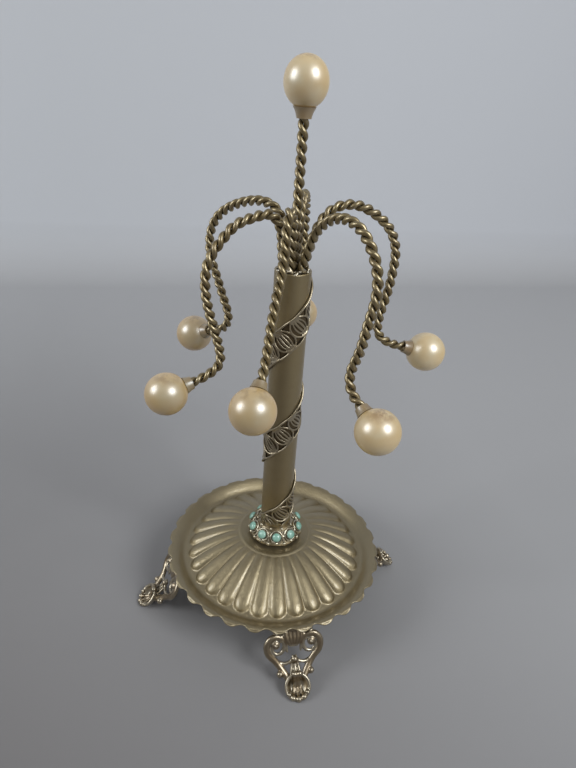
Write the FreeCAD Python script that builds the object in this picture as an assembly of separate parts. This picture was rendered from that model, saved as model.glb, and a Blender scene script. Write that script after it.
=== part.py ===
import FreeCAD, Part
import math
import os

# Jewellery stand. A round fluted dish on four scroll feet carries an upright tube. Six twisted
# wires rise from the tube's mouth, arch over and come down to a pearl bead each, and a seventh
# stands straight up with an oval bead. A pierced filigree band winds up the tube, and a collar
# of turquoise stones covers the joint of tube and dish.
# Lengths are in millimetres and angles in degrees. The origin is on the resting surface under
# the tube, +Z is up, -Y is the front, and azimuths run from the front towards +X.

Vector = FreeCAD.Vector
origin = Vector(0, 0, 0)
up = Vector(0, 0, 1)
front = Vector(0, -1, 0)
full_turn = 360

# Fits
slip_gap = 0.15
solder_gap = 0.04
foot_solder_gap = 0.08
overrun = 1.0

# Twisted wires
strand_diameter = 1.86
strand_gap = 0.08
twist_pitch = 7.4
wire_insertion = 14.0
steps_per_twist = 4

# Tube
post_wall = 1.0
post_length = 129.0
post_edge_fillet = 0.3

# Dish
dish_radius = 50.8
scallop_depth = 1.9
flute_count = 30
flute_azimuth = 5.5
flute_height = 2.2
sheet = 1.0
rim_height = 26.3
rim_overhang = 4.3
rim_slope = 35.0
crest_arc_radius = 1.1
wall_slope = 64.0
trough_width = 5.5
trough_depth = 5.0
trough_arc_radius = 1.6
trough_inner_rise = 0.35
scallop_reach = 3.2
dome_rise = 11.7
hub_margin = 5.3
bead_ring_width = 2.8
bead_ring_rise = 0.9

# Screw, washer and plug under the tube
screw_diameter = 4.0
screw_head_diameter = 8.0
screw_head_height = 2.4
screw_slot_width = 1.0
screw_slot_depth = 1.2
screw_clearance = 0.2
screw_grip = 9.0
thread_gap = 0.05
washer_diameter = 14.0
washer_thickness = 1.0
plug_length = 12.0

# Stone collar
collar_flare = 5.0
collar_drop = 5.6
collar_skirt = 0.8
collar_lift = 2.2
collar_top_land = 1.1
collar_wall = 1.4
stone_count = 10
stone_diameter = 3.5
stone_girdle = 0.5
stone_dome = 1.15
bezel_wall = 0.35
bezel_height = 1.3
petal_diameter = 5.9
petal_thickness = 1.0
bezel_sink = 0.9
pocket_depth = 0.7
granule_diameter = 1.6
small_granule_diameter = 1.2

# Filigree band
band_pitch = 45.3
band_height = 14.0
band_wire_diameter = 0.9
band_foot_gap = 1.0
band_top_margin = 1.4
band_front_height = 46.6
band_step = 30
scroll_wire_diameter = 0.8
scroll_pitch = 9.3
scroll_eye_diameter = 1.8
scroll_gap = 0.1
scroll_turns = 1.2
scroll_start_angle = 34.0
scroll_steps = 14

# Feet
foot_places = (("front", 13.3), ("right", 105.5), ("back", 196.0), ("left", -72.0))
foot_width = 23.0
foot_reach = 61.2
volute_radius = 4.3
volute_hole_radius = 3.0
volute_eye_radius = 2.2
foot_bar_width = 2.1
foot_arc_width = 1.3
foot_knob_radius = 1.6
foot_bridge_radius = 1.6
foot_saddle_width = 4.4
toe_radius = 5.6
toe_depth = 3.8
toe_wall = 1.3
toe_pad_sink = 0.3
toe_tilt = 45.0
toe_lobe_radius = 1.4
toe_lobe_spread = 34.0
ankle_bead_radius = 1.3

# Beads and their caps
bead_diameter = 16.0
top_bead_width = 14.7
top_bead_height = 15.9
top_bead_rise = 61.1
cap_diameter = 6.6
cap_length = 2.9
top_cap_diameter = 7.9
top_cap_length = 3.5
cap_wall = 0.5
cap_floor = 1.1
cap_socket_gap = 0.1
peg_diameter = 1.2
peg_length = 5.0
bead_hole_gap = 0.1
bead_hole_depth = 6.0

# Sizes that follow from the ones above
strand_radius = strand_diameter / 2
twist_radius = (strand_diameter + strand_gap) / 2
rope_radius = twist_radius + strand_radius
twist_angle = math.atan2(2 * math.pi * twist_radius, twist_pitch)
strand_end_dip = strand_radius * math.sin(twist_angle)
bundle_radius = 2 * rope_radius + slip_gap
post_bore_radius = bundle_radius + rope_radius + slip_gap
post_radius = post_bore_radius + post_wall
trough_height = rim_height - trough_depth
seat_height = trough_height + dome_rise
mouth_height = seat_height + post_length
crest_radius = dish_radius - rim_overhang
flute_end_radius = crest_radius - trough_width
foot_root_radius = (flute_end_radius + crest_radius) / 2
collar_radius = post_radius + collar_flare
hub_radius = collar_radius + hub_margin
flute_end_height = trough_height + trough_inner_rise
underside_height = trough_height - sheet
toe_lobe_circle = toe_radius - toe_wall
toe_height = toe_lobe_circle * math.cos(math.radians(toe_tilt)) + toe_lobe_radius - toe_pad_sink

# The wires that arch over: name, azimuth, reach of the bead's centre, rise of the crown above
# the tube's mouth, drop of the bead's centre below it, and the arch's course. The course is in
# shares of the reach and, above the mouth, of the rise, or below it of the drop.
arch_wires = (
    (
        "front", -12.0, 47.5, 23.0, 33.8,
        ((0.03, 0.50), (0.07, 0.83), (0.16, 1.00), (0.24, 0.80), (0.27, 0.42), (0.36, 0.09),
         (0.47, -0.12), (0.56, -0.31), (0.64, -0.54), (0.72, -0.71), (0.82, -0.81)),
    ),
    (
        "front_right", 36.5, 54.2, 23.8, 40.3,
        ((0.05, 0.32), (0.13, 0.65), (0.25, 0.88), (0.42, 1.00), (0.57, 0.95), (0.70, 0.75),
         (0.785, 0.45), (0.80, 0.13), (0.77, -0.12), (0.71, -0.46), (0.662, -0.70),
         (0.70, -0.81), (0.80, -0.88)),
    ),
    (
        "back_right", 100.5, 58.2, 23.8, 34.4,
        ((0.03, 0.32), (0.08, 0.68), (0.17, 0.93), (0.31, 1.00), (0.46, 0.87), (0.57, 0.66),
         (0.635, 0.33), (0.64, 0.0), (0.62, -0.30), (0.59, -0.60), (0.61, -0.77),
         (0.69, -0.87), (0.82, -0.93)),
    ),
    (
        "back", 174.5, 52.0, 23.0, 37.5,
        ((0.03, 0.35), (0.10, 0.70), (0.22, 0.95), (0.38, 1.00), (0.54, 0.88), (0.66, 0.62),
         (0.72, 0.28), (0.72, -0.03), (0.69, -0.30), (0.64, -0.60), (0.64, -0.76),
         (0.675, -0.84), (0.75, -0.89)),
    ),
    (
        "back_left", -126.9, 53.6, 21.6, 43.3,
        ((0.02, 0.38), (0.05, 0.74), (0.13, 0.94), (0.24, 1.00), (0.40, 0.94), (0.57, 0.78),
         (0.71, 0.54), (0.79, 0.20), (0.79, -0.10), (0.72, -0.29), (0.63, -0.51),
         (0.58, -0.70), (0.63, -0.80), (0.76, -0.87)),
    ),
    (
        "front_left", -62.1, 49.4, 20.4, 43.5,
        ((0.02, 0.40), (0.05, 0.78), (0.13, 0.98), (0.26, 0.96), (0.41, 0.85), (0.53, 0.60),
         (0.63, 0.27), (0.66, -0.05), (0.645, -0.22), (0.59, -0.45), (0.54, -0.66),
         (0.545, -0.80), (0.62, -0.87), (0.74, -0.92)),
    ),
)
first_bundle_azimuth = -11.6

# The dish's flutes, from the bead ring to the trough: share of the way out, share of the fall
# of the valley line, share of the flute's height, and how full the flute's shoulders are.
flute_shares = (
    (0.0, 0.0, 0.0, 0.64),
    (0.06, 0.035, 0.25, 0.64),
    (0.20, 0.13, 0.42, 0.66),
    (0.43, 0.34, 0.68, 0.68),
    (0.66, 0.62, 0.90, 0.70),
    (0.83, 0.845, 1.00, 0.68),
    (0.93, 0.96, 0.72, 0.55),
    (1.0, 1.0, 0.0, 0.64),
)
rim_steps = 18
shoulder_place_share = 0.6
boss_rim_share = 0.4
scallop_shoulder_share = 0.66

# The foot's band seen from the side: shares of the way from the trough to the toe, and of the
# height of the dish's underside.
foot_outer_shares = (
    (0.20, 1.15), (0.26, 1.02), (0.36, 0.84), (0.47, 0.64), (0.62, 0.44), (0.86, 0.27),
)
foot_inner_shares = (
    (-0.06, 1.15), (0.00, 1.02), (0.16, 0.775), (0.30, 0.56), (0.46, 0.36), (0.70, 0.18),
)

# The foot's openwork seen from the front: shares of half the width and of the same height.
volute_share = (0.55, 0.712)
volute_hole_share = (0.51, 0.676)
volute_eye_share = (0.63, 0.775)
bar_shares = ((0.93, 0.667), (0.62, 0.415), (0.25, 0.198))
arc_shares = ((0.60, 0.45), (0.32, 0.41), (0.0, 0.478))
bridge_share = (0.19, 0.838)
saddle_shares = ((-0.46, 0.945), (0.0, 0.985), (0.46, 0.945))
ankle_bead_share = (0.36, 0.29)
ankle_shares = ((0.34, 0.27), (0.0, 0.325), (0.30, 0.144), (0.0, 0.108))

# Shares that the curves are drawn with
straightness_share = 1e-5
direction_step_share = 1e-3
insertion_shares = (1, 0.5, 0)


def polar(radius, azimuth, height):
    angle = math.radians(azimuth)
    return Vector(radius * math.sin(angle), -radius * math.cos(angle), height)


def turned(shape, azimuth):
    copy = shape.copy()
    copy.rotate(origin, up, azimuth)
    return copy


def lowered(shape, distance):
    copy = shape.copy()
    copy.translate(-up * distance)
    return copy


def line(a, b):
    return Part.LineSegment(a, b).toShape()


def bow(a, middle, b):
    return Part.Arc(a, middle, b).toShape()


def spline(points):
    curve = Part.BSplineCurve()
    curve.interpolate(points)
    return curve.toShape()


def outline(points):
    return [line(a, b) for a, b in zip(points, points[1:])]


def lathe(edges):
    return Part.Face(Part.Wire(edges)).revolve(origin, up, full_turn)


def side_point(radius, height):
    return Vector(radius, 0, height)


def dome(rim_radius, rim_height, pole_height):
    """An arc from a rim to the pole above or below it, part of a ball about the axis."""
    rise = pole_height - rim_height
    ball_radius = (rim_radius ** 2 + rise ** 2) / (2 * rise)
    middle_angle = math.asin(rim_radius / ball_radius) / 2
    middle_height = pole_height - ball_radius * (1 - math.cos(middle_angle))
    middle = side_point(ball_radius * math.sin(middle_angle), middle_height)
    return bow(side_point(rim_radius, rim_height), middle, side_point(0, pole_height))


def lathe_points(rows):
    points = [side_point(radius, height) for radius, height in rows]
    return lathe(outline(points + points[:1]))


def boss(radius):
    """A short round post about the axis with a domed top, sunk as far below zero as it stands up."""
    rim = radius * boss_rim_share
    top = 2 * rim
    foot_centre = side_point(0, -top)
    foot_edge = side_point(radius, -top)
    side = outline([side_point(0, top), foot_centre, foot_edge, side_point(radius, rim)])
    return lathe(side + [dome(radius, rim, top)])


def ball(centre, radius):
    return Part.makeSphere(radius, centre)


def aimed(shape, place, direction):
    copy = shape.copy()
    copy.Placement = FreeCAD.Placement(place, FreeCAD.Rotation(up, direction))
    return copy


def write(name, shape):
    shape.exportStep(os.path.join("parts", name + ".step"))


# Round wires on a bent course

def arc_to(a, corner, b):
    """An arc that leaves a and reaches b along the lines to their common corner."""
    middle = (a + b) / 2
    half = (b - a).Length / 2
    rise = (corner - middle).Length
    if rise < half * straightness_share:
        return line(a, b)
    sag = half * math.tan(math.atan2(rise, half) / 2)
    return bow(a, middle + (corner - middle).normalize() * sag, b)


def biarc(a, along_a, b, along_b):
    """Two arcs that meet smoothly and lead from a to b with the directions given there."""
    chord = b - a
    square = 2 * (along_a.dot(along_b) - 1)
    linear = -2 * chord.dot(along_a + along_b)
    constant = chord.dot(chord)
    if abs(square) < straightness_share:
        reach = -constant / linear
    else:
        reach = (-linear - math.sqrt(linear * linear - 4 * square * constant)) / (2 * square)
        if reach < 0:
            reach = (-linear + math.sqrt(linear * linear - 4 * square * constant)) / (2 * square)
    corner_a = a + along_a * reach
    corner_b = b - along_b * reach
    middle = (corner_a + corner_b) / 2
    return [arc_to(a, corner_a, middle), arc_to(middle, corner_b, b)]


def round_wire(rows, radius):
    """A round wire along rows of point and direction."""
    edges = []
    for (a, along_a), (b, along_b) in zip(rows, rows[1:]):
        edges += biarc(a, along_a, b, along_b)
    start, along = rows[0]
    section = Part.Wire([Part.Circle(start, along, radius).toShape()])
    return Part.Wire(edges).makePipeShell([section], True, False)


def rows_of(place, steps):
    """Points and directions at even steps of a place that runs from 0 to 1."""
    small = direction_step_share / steps
    rows = []
    for k in range(steps + 1):
        share = k / steps
        before = place(max(share - small, 0))
        after = place(min(share + small, 1))
        rows.append((place(share), (after - before).normalize()))
    return rows


def twisted_pair(course, across):
    """The two strands of a left-hand twisted pair along a course that lies square to across."""
    length = course.length()
    steps = round(steps_per_twist * length / twist_pitch)

    def strand_place(phase):
        def place(share):
            distance = share * length
            parameter = course.parameterAtDistance(distance, course.FirstParameter)
            along = course.tangent(parameter)[0]
            sideways = across.cross(along)
            angle = phase - 2 * math.pi * distance / twist_pitch
            offset = sideways * math.cos(angle) + across * math.sin(angle)
            return course.value(parameter) + offset * twist_radius
        return place

    return [round_wire(rows_of(strand_place(phase), steps), strand_radius) for phase in (0, math.pi)]


# Beads, caps and the wires that carry them

def oval_arc(width, height, hole_radius, lower_end):
    """Half the outline of a bead, from its lower pole or lower hole edge to its upper hole edge."""
    stretch = FreeCAD.Matrix()
    stretch.scale(width / 2, 1, height / 2)
    inset = 2 * hole_radius / width
    rise = math.sqrt(1 - inset * inset)
    start = Vector(inset, 0, -rise) if lower_end == "hole" else Vector(0, 0, -1)
    arc = bow(start, Vector(1, 0, 0), Vector(inset, 0, rise))
    return arc.transformGeometry(stretch).Edges[0]


def bead(width, height, drilled_through):
    """A drilled bead about its own centre, with its hole's mouth at the top."""
    hole_radius = peg_diameter / 2 + bead_hole_gap
    arc = oval_arc(width, height, hole_radius, "hole" if drilled_through else "pole")
    bottom = arc.valueAt(arc.FirstParameter)
    top = arc.valueAt(arc.LastParameter)
    if drilled_through:
        return lathe([arc, line(top, bottom)])
    hole_end = top.z - bead_hole_depth
    wall_foot = side_point(hole_radius, hole_end)
    centre_foot = side_point(0, hole_end)
    return lathe([arc, line(top, wall_foot), line(wall_foot, centre_foot), line(centre_foot, bottom)])


def cap(width, height, diameter, length):
    """A bell-shaped cap over the top of a bead about the bead's centre, with its peg below."""
    pole = height / 2 + solder_gap
    seat_radius = (width / 2) ** 2 / (height / 2) + solder_gap
    seat_centre = pole - seat_radius

    def seat(radius):
        return side_point(radius, seat_centre + math.sqrt(seat_radius ** 2 - radius ** 2))

    peg_radius = peg_diameter / 2
    socket_radius = rope_radius + cap_socket_gap
    neck_radius = socket_radius + cap_wall
    cup_radius = diameter / 2 - cap_wall
    lip = seat(cup_radius)
    floor = pole + cap_floor
    top = lip.z + length
    peg_tip = pole - peg_length
    foot = side_point(diameter / 2, lip.z)
    neck = side_point(neck_radius, top)
    waist = side_point((neck_radius * 2 + diameter / 2) / 3, (foot.z + neck.z) / 2)
    edges = [
        line(side_point(0, peg_tip), side_point(peg_radius, peg_tip)),
        line(side_point(peg_radius, peg_tip), seat(peg_radius)),
        bow(seat(peg_radius), seat((peg_radius + cup_radius) / 2), lip),
        line(lip, foot),
        bow(foot, waist, neck),
        line(neck, side_point(socket_radius, top)),
        line(side_point(socket_radius, top), side_point(socket_radius, floor)),
        line(side_point(socket_radius, floor), side_point(0, floor)),
        line(side_point(0, floor), side_point(0, peg_tip)),
    ]
    return lathe(edges)


def arch_wire(number, azimuth, reach, rise, drop, course_shares):
    """Strands, bead and cap of one wire that arches over from its place in the tube's mouth."""
    start = polar(bundle_radius, first_bundle_azimuth + number * full_turn / len(arch_wires), 0)
    bead_foot = polar(reach, azimuth, 0)
    outward = bead_foot - start
    across = outward.cross(up).normalize()

    def course_point(out_share, height_share):
        scale = rise if height_share > 0 else drop
        return start + outward * out_share + up * (mouth_height + height_share * scale)

    bead_centre = course_point(1, -1)
    points = [start + up * (mouth_height - wire_insertion * share) for share in insertion_shares]
    points += [course_point(*shares) for shares in course_shares]
    aim = (points[-1] - bead_centre).normalize()
    wire_end = bead_centre + aim * (bead_diameter / 2 + cap_floor + strand_end_dip + 2 * solder_gap)
    points.append(wire_end)
    course = Part.BSplineCurve()
    course.interpolate(Points=points, InitialTangent=up * wire_insertion, FinalTangent=-aim * cap_length)
    strands = twisted_pair(course, across)
    round_bead = aimed(bead(bead_diameter, bead_diameter, False), bead_centre, aim)
    round_cap = aimed(cap(bead_diameter, bead_diameter, cap_diameter, cap_length), bead_centre, aim)
    return strands, round_bead, round_cap


def upright_wire():
    """Strands, bead and cap of the wire that stands in the middle."""
    bead_centre = up * (mouth_height + top_bead_rise)
    wire_end = bead_centre.z - top_bead_height / 2 - cap_floor - strand_end_dip - 2 * solder_gap
    course = Part.BSplineCurve()
    course.interpolate([up * (mouth_height - wire_insertion), up * mouth_height, up * wire_end])
    strands = twisted_pair(course, front)
    oval_bead = aimed(bead(top_bead_width, top_bead_height, True), bead_centre, -up)
    oval_cap = cap(top_bead_width, top_bead_height, top_cap_diameter, top_cap_length)
    oval_cap = aimed(oval_cap, bead_centre, -up)
    return strands, oval_bead, oval_cap


# Dish

def across_flute(valley_radius, valley_height, crest_radius, crest_height, shoulder):
    """A curve across one flute, from valley to valley over the crest."""
    rows = (
        (-1, 0), (-shoulder_place_share, shoulder), (0, 1), (shoulder_place_share, shoulder), (1, 0),
    )
    half_angle = full_turn / flute_count / 2
    points = []
    for side, swell in rows:
        radius = valley_radius + (crest_radius - valley_radius) * swell
        height = valley_height + (crest_height - valley_height) * swell
        points.append(polar(radius, half_angle * side, height))
    return Part.Wire([spline(points)])


def ring_faces(*rows):
    """The smooth faces over one flute's width through plain circles of given radius and height."""
    circles = [across_flute(radius, height, radius, height, 1) for radius, height in rows]
    return Part.makeLoft(circles, False, False).Faces


def rim_outline():
    """Arcs and lines from the flutes' ends down the trough, up its wall and over the rim's crest."""
    wall = math.radians(wall_slope)
    fall = math.radians(rim_slope)
    arcs_radius = trough_arc_radius + crest_arc_radius
    wall_rise = trough_depth - arcs_radius * (1 - math.cos(wall))
    floor_radius = crest_radius - arcs_radius * math.sin(wall) - wall_rise / math.tan(wall)
    inner_reach = floor_radius - flute_end_radius
    inner_arc_radius = (inner_reach ** 2 + trough_inner_rise ** 2) / (2 * trough_inner_rise)
    trough_centre = side_point(floor_radius, trough_height + trough_arc_radius)
    crest_centre = side_point(crest_radius, rim_height - crest_arc_radius)
    inner_centre = side_point(floor_radius, trough_height + inner_arc_radius)

    def on_arc(centre, radius, angle):
        return centre + Vector(math.sin(angle), 0, math.cos(angle)) * radius

    inner_angle = math.asin(inner_reach / inner_arc_radius)
    start = on_arc(inner_centre, -inner_arc_radius, inner_angle)
    floor = side_point(floor_radius, trough_height)
    wall_foot = on_arc(trough_centre, -trough_arc_radius, -wall)
    wall_top = on_arc(crest_centre, crest_arc_radius, -wall)
    flange = on_arc(crest_centre, crest_arc_radius, fall)
    lip = side_point(dish_radius, flange.z - (dish_radius - flange.x) * math.tan(fall))
    return Part.Wire([
        bow(start, on_arc(inner_centre, -inner_arc_radius, inner_angle / 2), floor),
        bow(floor, on_arc(trough_centre, -trough_arc_radius, -wall / 2), wall_foot),
        line(wall_foot, wall_top),
        bow(wall_top, on_arc(crest_centre, crest_arc_radius, (fall - wall) / 2), flange),
        line(flange, lip),
    ])


def rim_rows():
    """Radius and height of notch and of lobe, from the flutes' ends to the scalloped lip."""
    rows = []
    for place in rim_outline().discretize(rim_steps + 1):
        notch_share = max(scallop_reach - (dish_radius - place.x), 0) / scallop_reach
        inset = scallop_depth * notch_share ** 2
        rise = inset * math.tan(math.radians(rim_slope))
        rows.append((place.x - inset, place.z + rise, place.x, place.z))
    return rows


def dish_sector():
    """The faces of one flute's share of the dish: top, underside, rim and screw hole."""
    hole_radius = screw_diameter / 2 + screw_clearance
    ring_radius = hub_radius - bead_ring_width
    under_seat = seat_height - sheet
    fall = seat_height - flute_end_height
    reach = flute_end_radius - hub_radius
    sections = []
    for out, down, swell, shoulder in flute_shares:
        radius = hub_radius + reach * out
        height = seat_height - fall * down
        sections.append(across_flute(radius, height, radius, height + flute_height * swell, shoulder))
    rim = [across_flute(*row, scallop_shoulder_share) for row in rim_rows()]
    lip = rim[-1]
    skin = Part.makeLoft(rim, False, False).Faces
    skin += Part.makeLoft(sections, False, False).Faces
    underside = [lowered(face, sheet) for face in skin]
    ring_middle = (ring_radius + hub_radius) / 2
    ring_top = seat_height + bead_ring_rise
    hub = ring_faces((ring_radius, seat_height), (ring_middle, ring_top), (hub_radius, seat_height))
    hub += ring_faces((hole_radius, seat_height), (ring_radius, seat_height))
    hub += ring_faces((hole_radius, under_seat), (hub_radius, under_seat))
    hub += ring_faces((hole_radius, under_seat), (hole_radius, seat_height))
    rim_edge = Part.makeRuledSurface(lip.Edges[0], lowered(lip, sheet).Edges[0])
    return skin + underside + hub + [rim_edge]


def base_dish():
    """The dish: a plain seat and ring, a fluted dome, a trough, and a rim that rolls over to lobes."""
    sector = dish_sector()
    faces = []
    for k in range(flute_count):
        azimuth = flute_azimuth + k * full_turn / flute_count
        faces += [turned(face, azimuth) for face in sector]
    skin = Part.Compound(faces)
    skin.sewShape(solder_gap / 2)
    solid = Part.Solid(skin.Shells[0])
    if solid.Volume < 0:
        solid.reverse()
    return solid


def dish_underside_space():
    """The space that the dish takes over the feet, grown by the solder's thickness."""
    drop = sheet + foot_solder_gap
    profile = [side_point(radius, height - drop) for notch, notch_height, radius, height in rim_rows()]
    far = side_point(dish_radius + overrun, profile[-1].z)
    far_top = side_point(far.x, rim_height + sheet)
    near_top = side_point(flute_end_radius, rim_height + sheet)
    return lathe([spline(profile)] + outline([profile[-1], far, far_top, near_top, profile[0]]))


# Feet

def foot_side_point(out_share, height_share):
    radius = foot_root_radius + (foot_reach - foot_root_radius) * out_share
    return Vector(0, -radius, underside_height * height_share)


def foot_band():
    """The foot's curved thickness, from the trough down and out to the toe."""
    outer = [foot_side_point(*shares) for shares in foot_outer_shares]
    inner = [foot_side_point(*shares) for shares in foot_inner_shares]
    edges = [spline(outer), line(outer[-1], inner[-1]), spline(inner), line(inner[0], outer[0])]
    face = Part.Face(Part.Wire(Part.__sortEdges__(edges)))
    face.translate(Vector(-foot_width, 0, 0))
    return face.extrude(Vector(2 * foot_width, 0, 0))


def foot_front_point(width_share, height_share):
    return Vector(width_share * foot_width / 2, 0, underside_height * height_share)


def pushed_out(face):
    return face.extrude(front * (foot_reach + toe_radius))


def disc(centre, radius):
    return Part.Face(Part.Wire([Part.Circle(centre, front, radius).toShape()]))


def ribbon(points, width):
    """A strip of even width along the arc through three points, with round ends."""
    first, middle, last = points
    centre_line = Part.Wire([bow(first, middle, last)])
    return Part.Face(centre_line.makeOffset2D(width / 2, 0, False, False, False))


def mirrored(shapes):
    return shapes + [shape.mirror(origin, Vector(1, 0, 0)) for shape in shapes]


def boss_on_foot(share, radius):
    """A round boss with a domed top, square to the foot's outer skin at a place of its front view."""
    place = foot_front_point(*share)
    for upper, lower in zip(foot_outer_shares, foot_outer_shares[1:]):
        if lower[1] <= share[1] <= upper[1]:
            break
    high = foot_side_point(*upper)
    low = foot_side_point(*lower)
    on_skin = low + (high - low) * ((place.z - low.z) / (high.z - low.z))
    outward = Vector(1, 0, 0).cross(high - low).normalize()
    return aimed(boss(radius), on_skin + Vector(place.x, 0, 0), outward)


def toe():
    """The shell-shaped toe, a hollow bowl tilted out and up, with lobes along its lower lip."""
    hollow_radius = toe_radius - toe_wall
    lip_top = side_point(toe_radius - toe_wall / 2, toe_wall / 2)
    bowl = lathe([
        dome(toe_radius, 0, -toe_depth),
        bow(side_point(toe_radius, 0), lip_top, side_point(hollow_radius, 0)),
        dome(hollow_radius, 0, toe_wall - toe_depth),
        line(side_point(0, toe_wall - toe_depth), side_point(0, -toe_depth)),
    ])
    lobes = []
    for side in (-1, 0, 1):
        angle = math.radians(side * toe_lobe_spread)
        place = Vector(math.sin(angle), -math.cos(angle), 0) * toe_lobe_circle
        lobes.append(ball(place, toe_lobe_radius))
    shell = bowl.fuse(lobes)
    shell.rotate(origin, Vector(1, 0, 0), 90 - toe_tilt)
    shell.translate(Vector(0, -foot_reach, toe_height))
    return shell


def foot():
    """One cast foot at the front: openwork between two volutes and a toe."""
    band = foot_band()
    pieces = [
        disc(foot_front_point(*volute_share), volute_radius),
        ribbon([foot_front_point(*share) for share in bar_shares], foot_bar_width),
        ribbon([foot_front_point(*share) for share in arc_shares], foot_arc_width),
        disc(foot_front_point(*bridge_share), foot_bridge_radius),
    ]
    solids = [pushed_out(piece).common(band) for piece in pieces]
    hole = pushed_out(disc(foot_front_point(*volute_hole_share), volute_hole_radius))
    solids = mirrored([solid.cut(hole) for solid in solids])
    saddle = ribbon([foot_front_point(*share) for share in saddle_shares], foot_saddle_width)
    solids.append(pushed_out(saddle).common(band))
    ankle_edges = [foot_front_point(*share) for share in ankle_shares]
    ankle_ring = outline([
        ankle_edges[0], ankle_edges[1], Vector(-ankle_edges[0].x, 0, ankle_edges[0].z),
        Vector(-ankle_edges[2].x, 0, ankle_edges[2].z), ankle_edges[3], ankle_edges[2], ankle_edges[0],
    ])
    solids.append(pushed_out(Part.Face(Part.Wire(ankle_ring))).common(band))
    solids += mirrored([boss_on_foot(volute_eye_share, volute_eye_radius)])
    solids += mirrored([boss_on_foot(ankle_bead_share, ankle_bead_radius)])
    solids.append(boss_on_foot(arc_shares[2], foot_knob_radius))
    whole = toe().fuse(solids)
    whole = whole.cut(dish_underside_space())
    reach = foot_reach + toe_radius + overrun
    table = Part.makeBox(2 * foot_width, reach, toe_radius, Vector(-foot_width, -reach, -toe_radius))
    return whole.cut(table)


# Tube and what fixes it to the dish

def post_tube():
    tube = turned_ring(post_bore_radius, post_radius, seat_height, mouth_height)
    mouth = [edge for edge in tube.Edges if edge.BoundBox.ZMin > mouth_height - post_edge_fillet]
    return tube.makeFillet(post_edge_fillet, [edge for edge in mouth if len(edge.Vertexes) == 1])


def turned_ring(hole_radius, radius, low, high):
    return lathe_points(((hole_radius, low), (radius, low), (radius, high), (hole_radius, high)))


def post_plug():
    """The plug soldered into the tube's foot, tapped for the screw."""
    hole_radius = screw_diameter / 2 + thread_gap
    return turned_ring(hole_radius, post_bore_radius - solder_gap, seat_height, seat_height + plug_length)


def base_washer():
    top = seat_height - sheet
    hole_radius = screw_diameter / 2 + screw_clearance
    return turned_ring(hole_radius, washer_diameter / 2, top - washer_thickness, top)


def base_screw():
    """A slotted screw from under the dish into the plug."""
    head_top = seat_height - sheet - washer_thickness
    head_foot = head_top - screw_head_height
    tip = seat_height + screw_grip
    radius = screw_diameter / 2
    head_radius = screw_head_diameter / 2
    shank = outline([
        side_point(head_radius, head_top), side_point(radius, head_top), side_point(radius, tip),
        side_point(0, tip), side_point(0, head_foot),
    ])
    screw = lathe([dome(head_radius, head_top, head_foot)] + shank)
    slot_corner = Vector(-head_radius, -screw_slot_width / 2, head_foot - overrun)
    slot_depth = screw_slot_depth + overrun
    return screw.cut(Part.makeBox(2 * head_radius, screw_slot_width, slot_depth, slot_corner))


# Collar and stones

def stone_axis(azimuth):
    """Place and direction of a stone's setting on the collar's slope."""
    slope_width = collar_flare - collar_top_land
    middle = polar(collar_radius - slope_width / 2, azimuth, collar_foot_height() + collar_drop / 2)
    outward = polar(1, azimuth, 0)
    direction = (outward * collar_drop + up * slope_width).normalize()
    return middle, direction


def collar_foot_height():
    return seat_height + collar_lift


def stone():
    """A round cabochon, its flat back at zero."""
    radius = stone_diameter / 2
    top = stone_girdle + stone_dome
    back = outline([side_point(0, top), origin, side_point(radius, 0), side_point(radius, stone_girdle)])
    return lathe(back + [dome(radius, stone_girdle, top)])


def stone_collar():
    """The flared collar with its bezels, the pockets in them and the granules between them."""
    bore = post_radius + solder_gap
    foot_height = collar_foot_height()
    top = foot_height + collar_drop
    skirt_foot = foot_height - collar_skirt
    body = lathe_points((
        (bore, seat_height), (bore + collar_wall, seat_height), (bore + collar_wall, foot_height),
        (collar_radius - collar_wall, skirt_foot), (collar_radius, skirt_foot),
        (collar_radius, foot_height), (post_radius + collar_top_land, top), (bore, top),
    ))
    bezel_radius = stone_diameter / 2 + solder_gap + bezel_wall
    bezel = Part.makeCylinder(bezel_radius, bezel_height + bezel_sink, Vector(0, 0, -bezel_sink))
    petal = Part.makeCylinder(petal_diameter / 2, petal_thickness, Vector(0, 0, -petal_thickness / 2))
    additions = []
    pockets = []
    pocket = Part.makeCylinder(stone_diameter / 2 + solder_gap, pocket_depth + overrun)
    granule = boss(granule_diameter / 2)
    small_granule = boss(small_granule_diameter / 2)
    for k in range(stone_count):
        azimuth = stone_azimuth(k)
        between = azimuth + full_turn / stone_count / 2
        place, direction = stone_axis(azimuth)
        additions.append(aimed(bezel, place, direction))
        additions.append(aimed(petal, place, direction))
        pockets.append(aimed(pocket, place + direction * (bezel_height - pocket_depth), direction))
        petal_foot = place - direction.cross(up).cross(direction).normalize() * (petal_diameter / 2)
        additions.append(aimed(granule, petal_foot, direction))
        direction_between = stone_axis(between)[1]
        additions.append(aimed(granule, polar(collar_radius, between, foot_height), direction_between))
        additions.append(aimed(small_granule, polar(post_radius + collar_top_land, between, top), up))
        additions.append(separator(between))
    return body.fuse(additions).cut(pockets)


def separator(azimuth):
    """The raised bar between two settings."""
    place, direction = stone_axis(azimuth)
    length = collar_drop - small_granule_diameter
    bar = Part.makeCylinder(small_granule_diameter / 2, length, Vector(0, 0, -length / 2))
    top = polar(post_radius + collar_top_land, azimuth, collar_drop)
    slope = (top - polar(collar_radius, azimuth, 0)).normalize()
    return aimed(bar, place, slope)


def stone_azimuth(k):
    return flute_azimuth + k * full_turn / stone_count


# Filigree band

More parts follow.
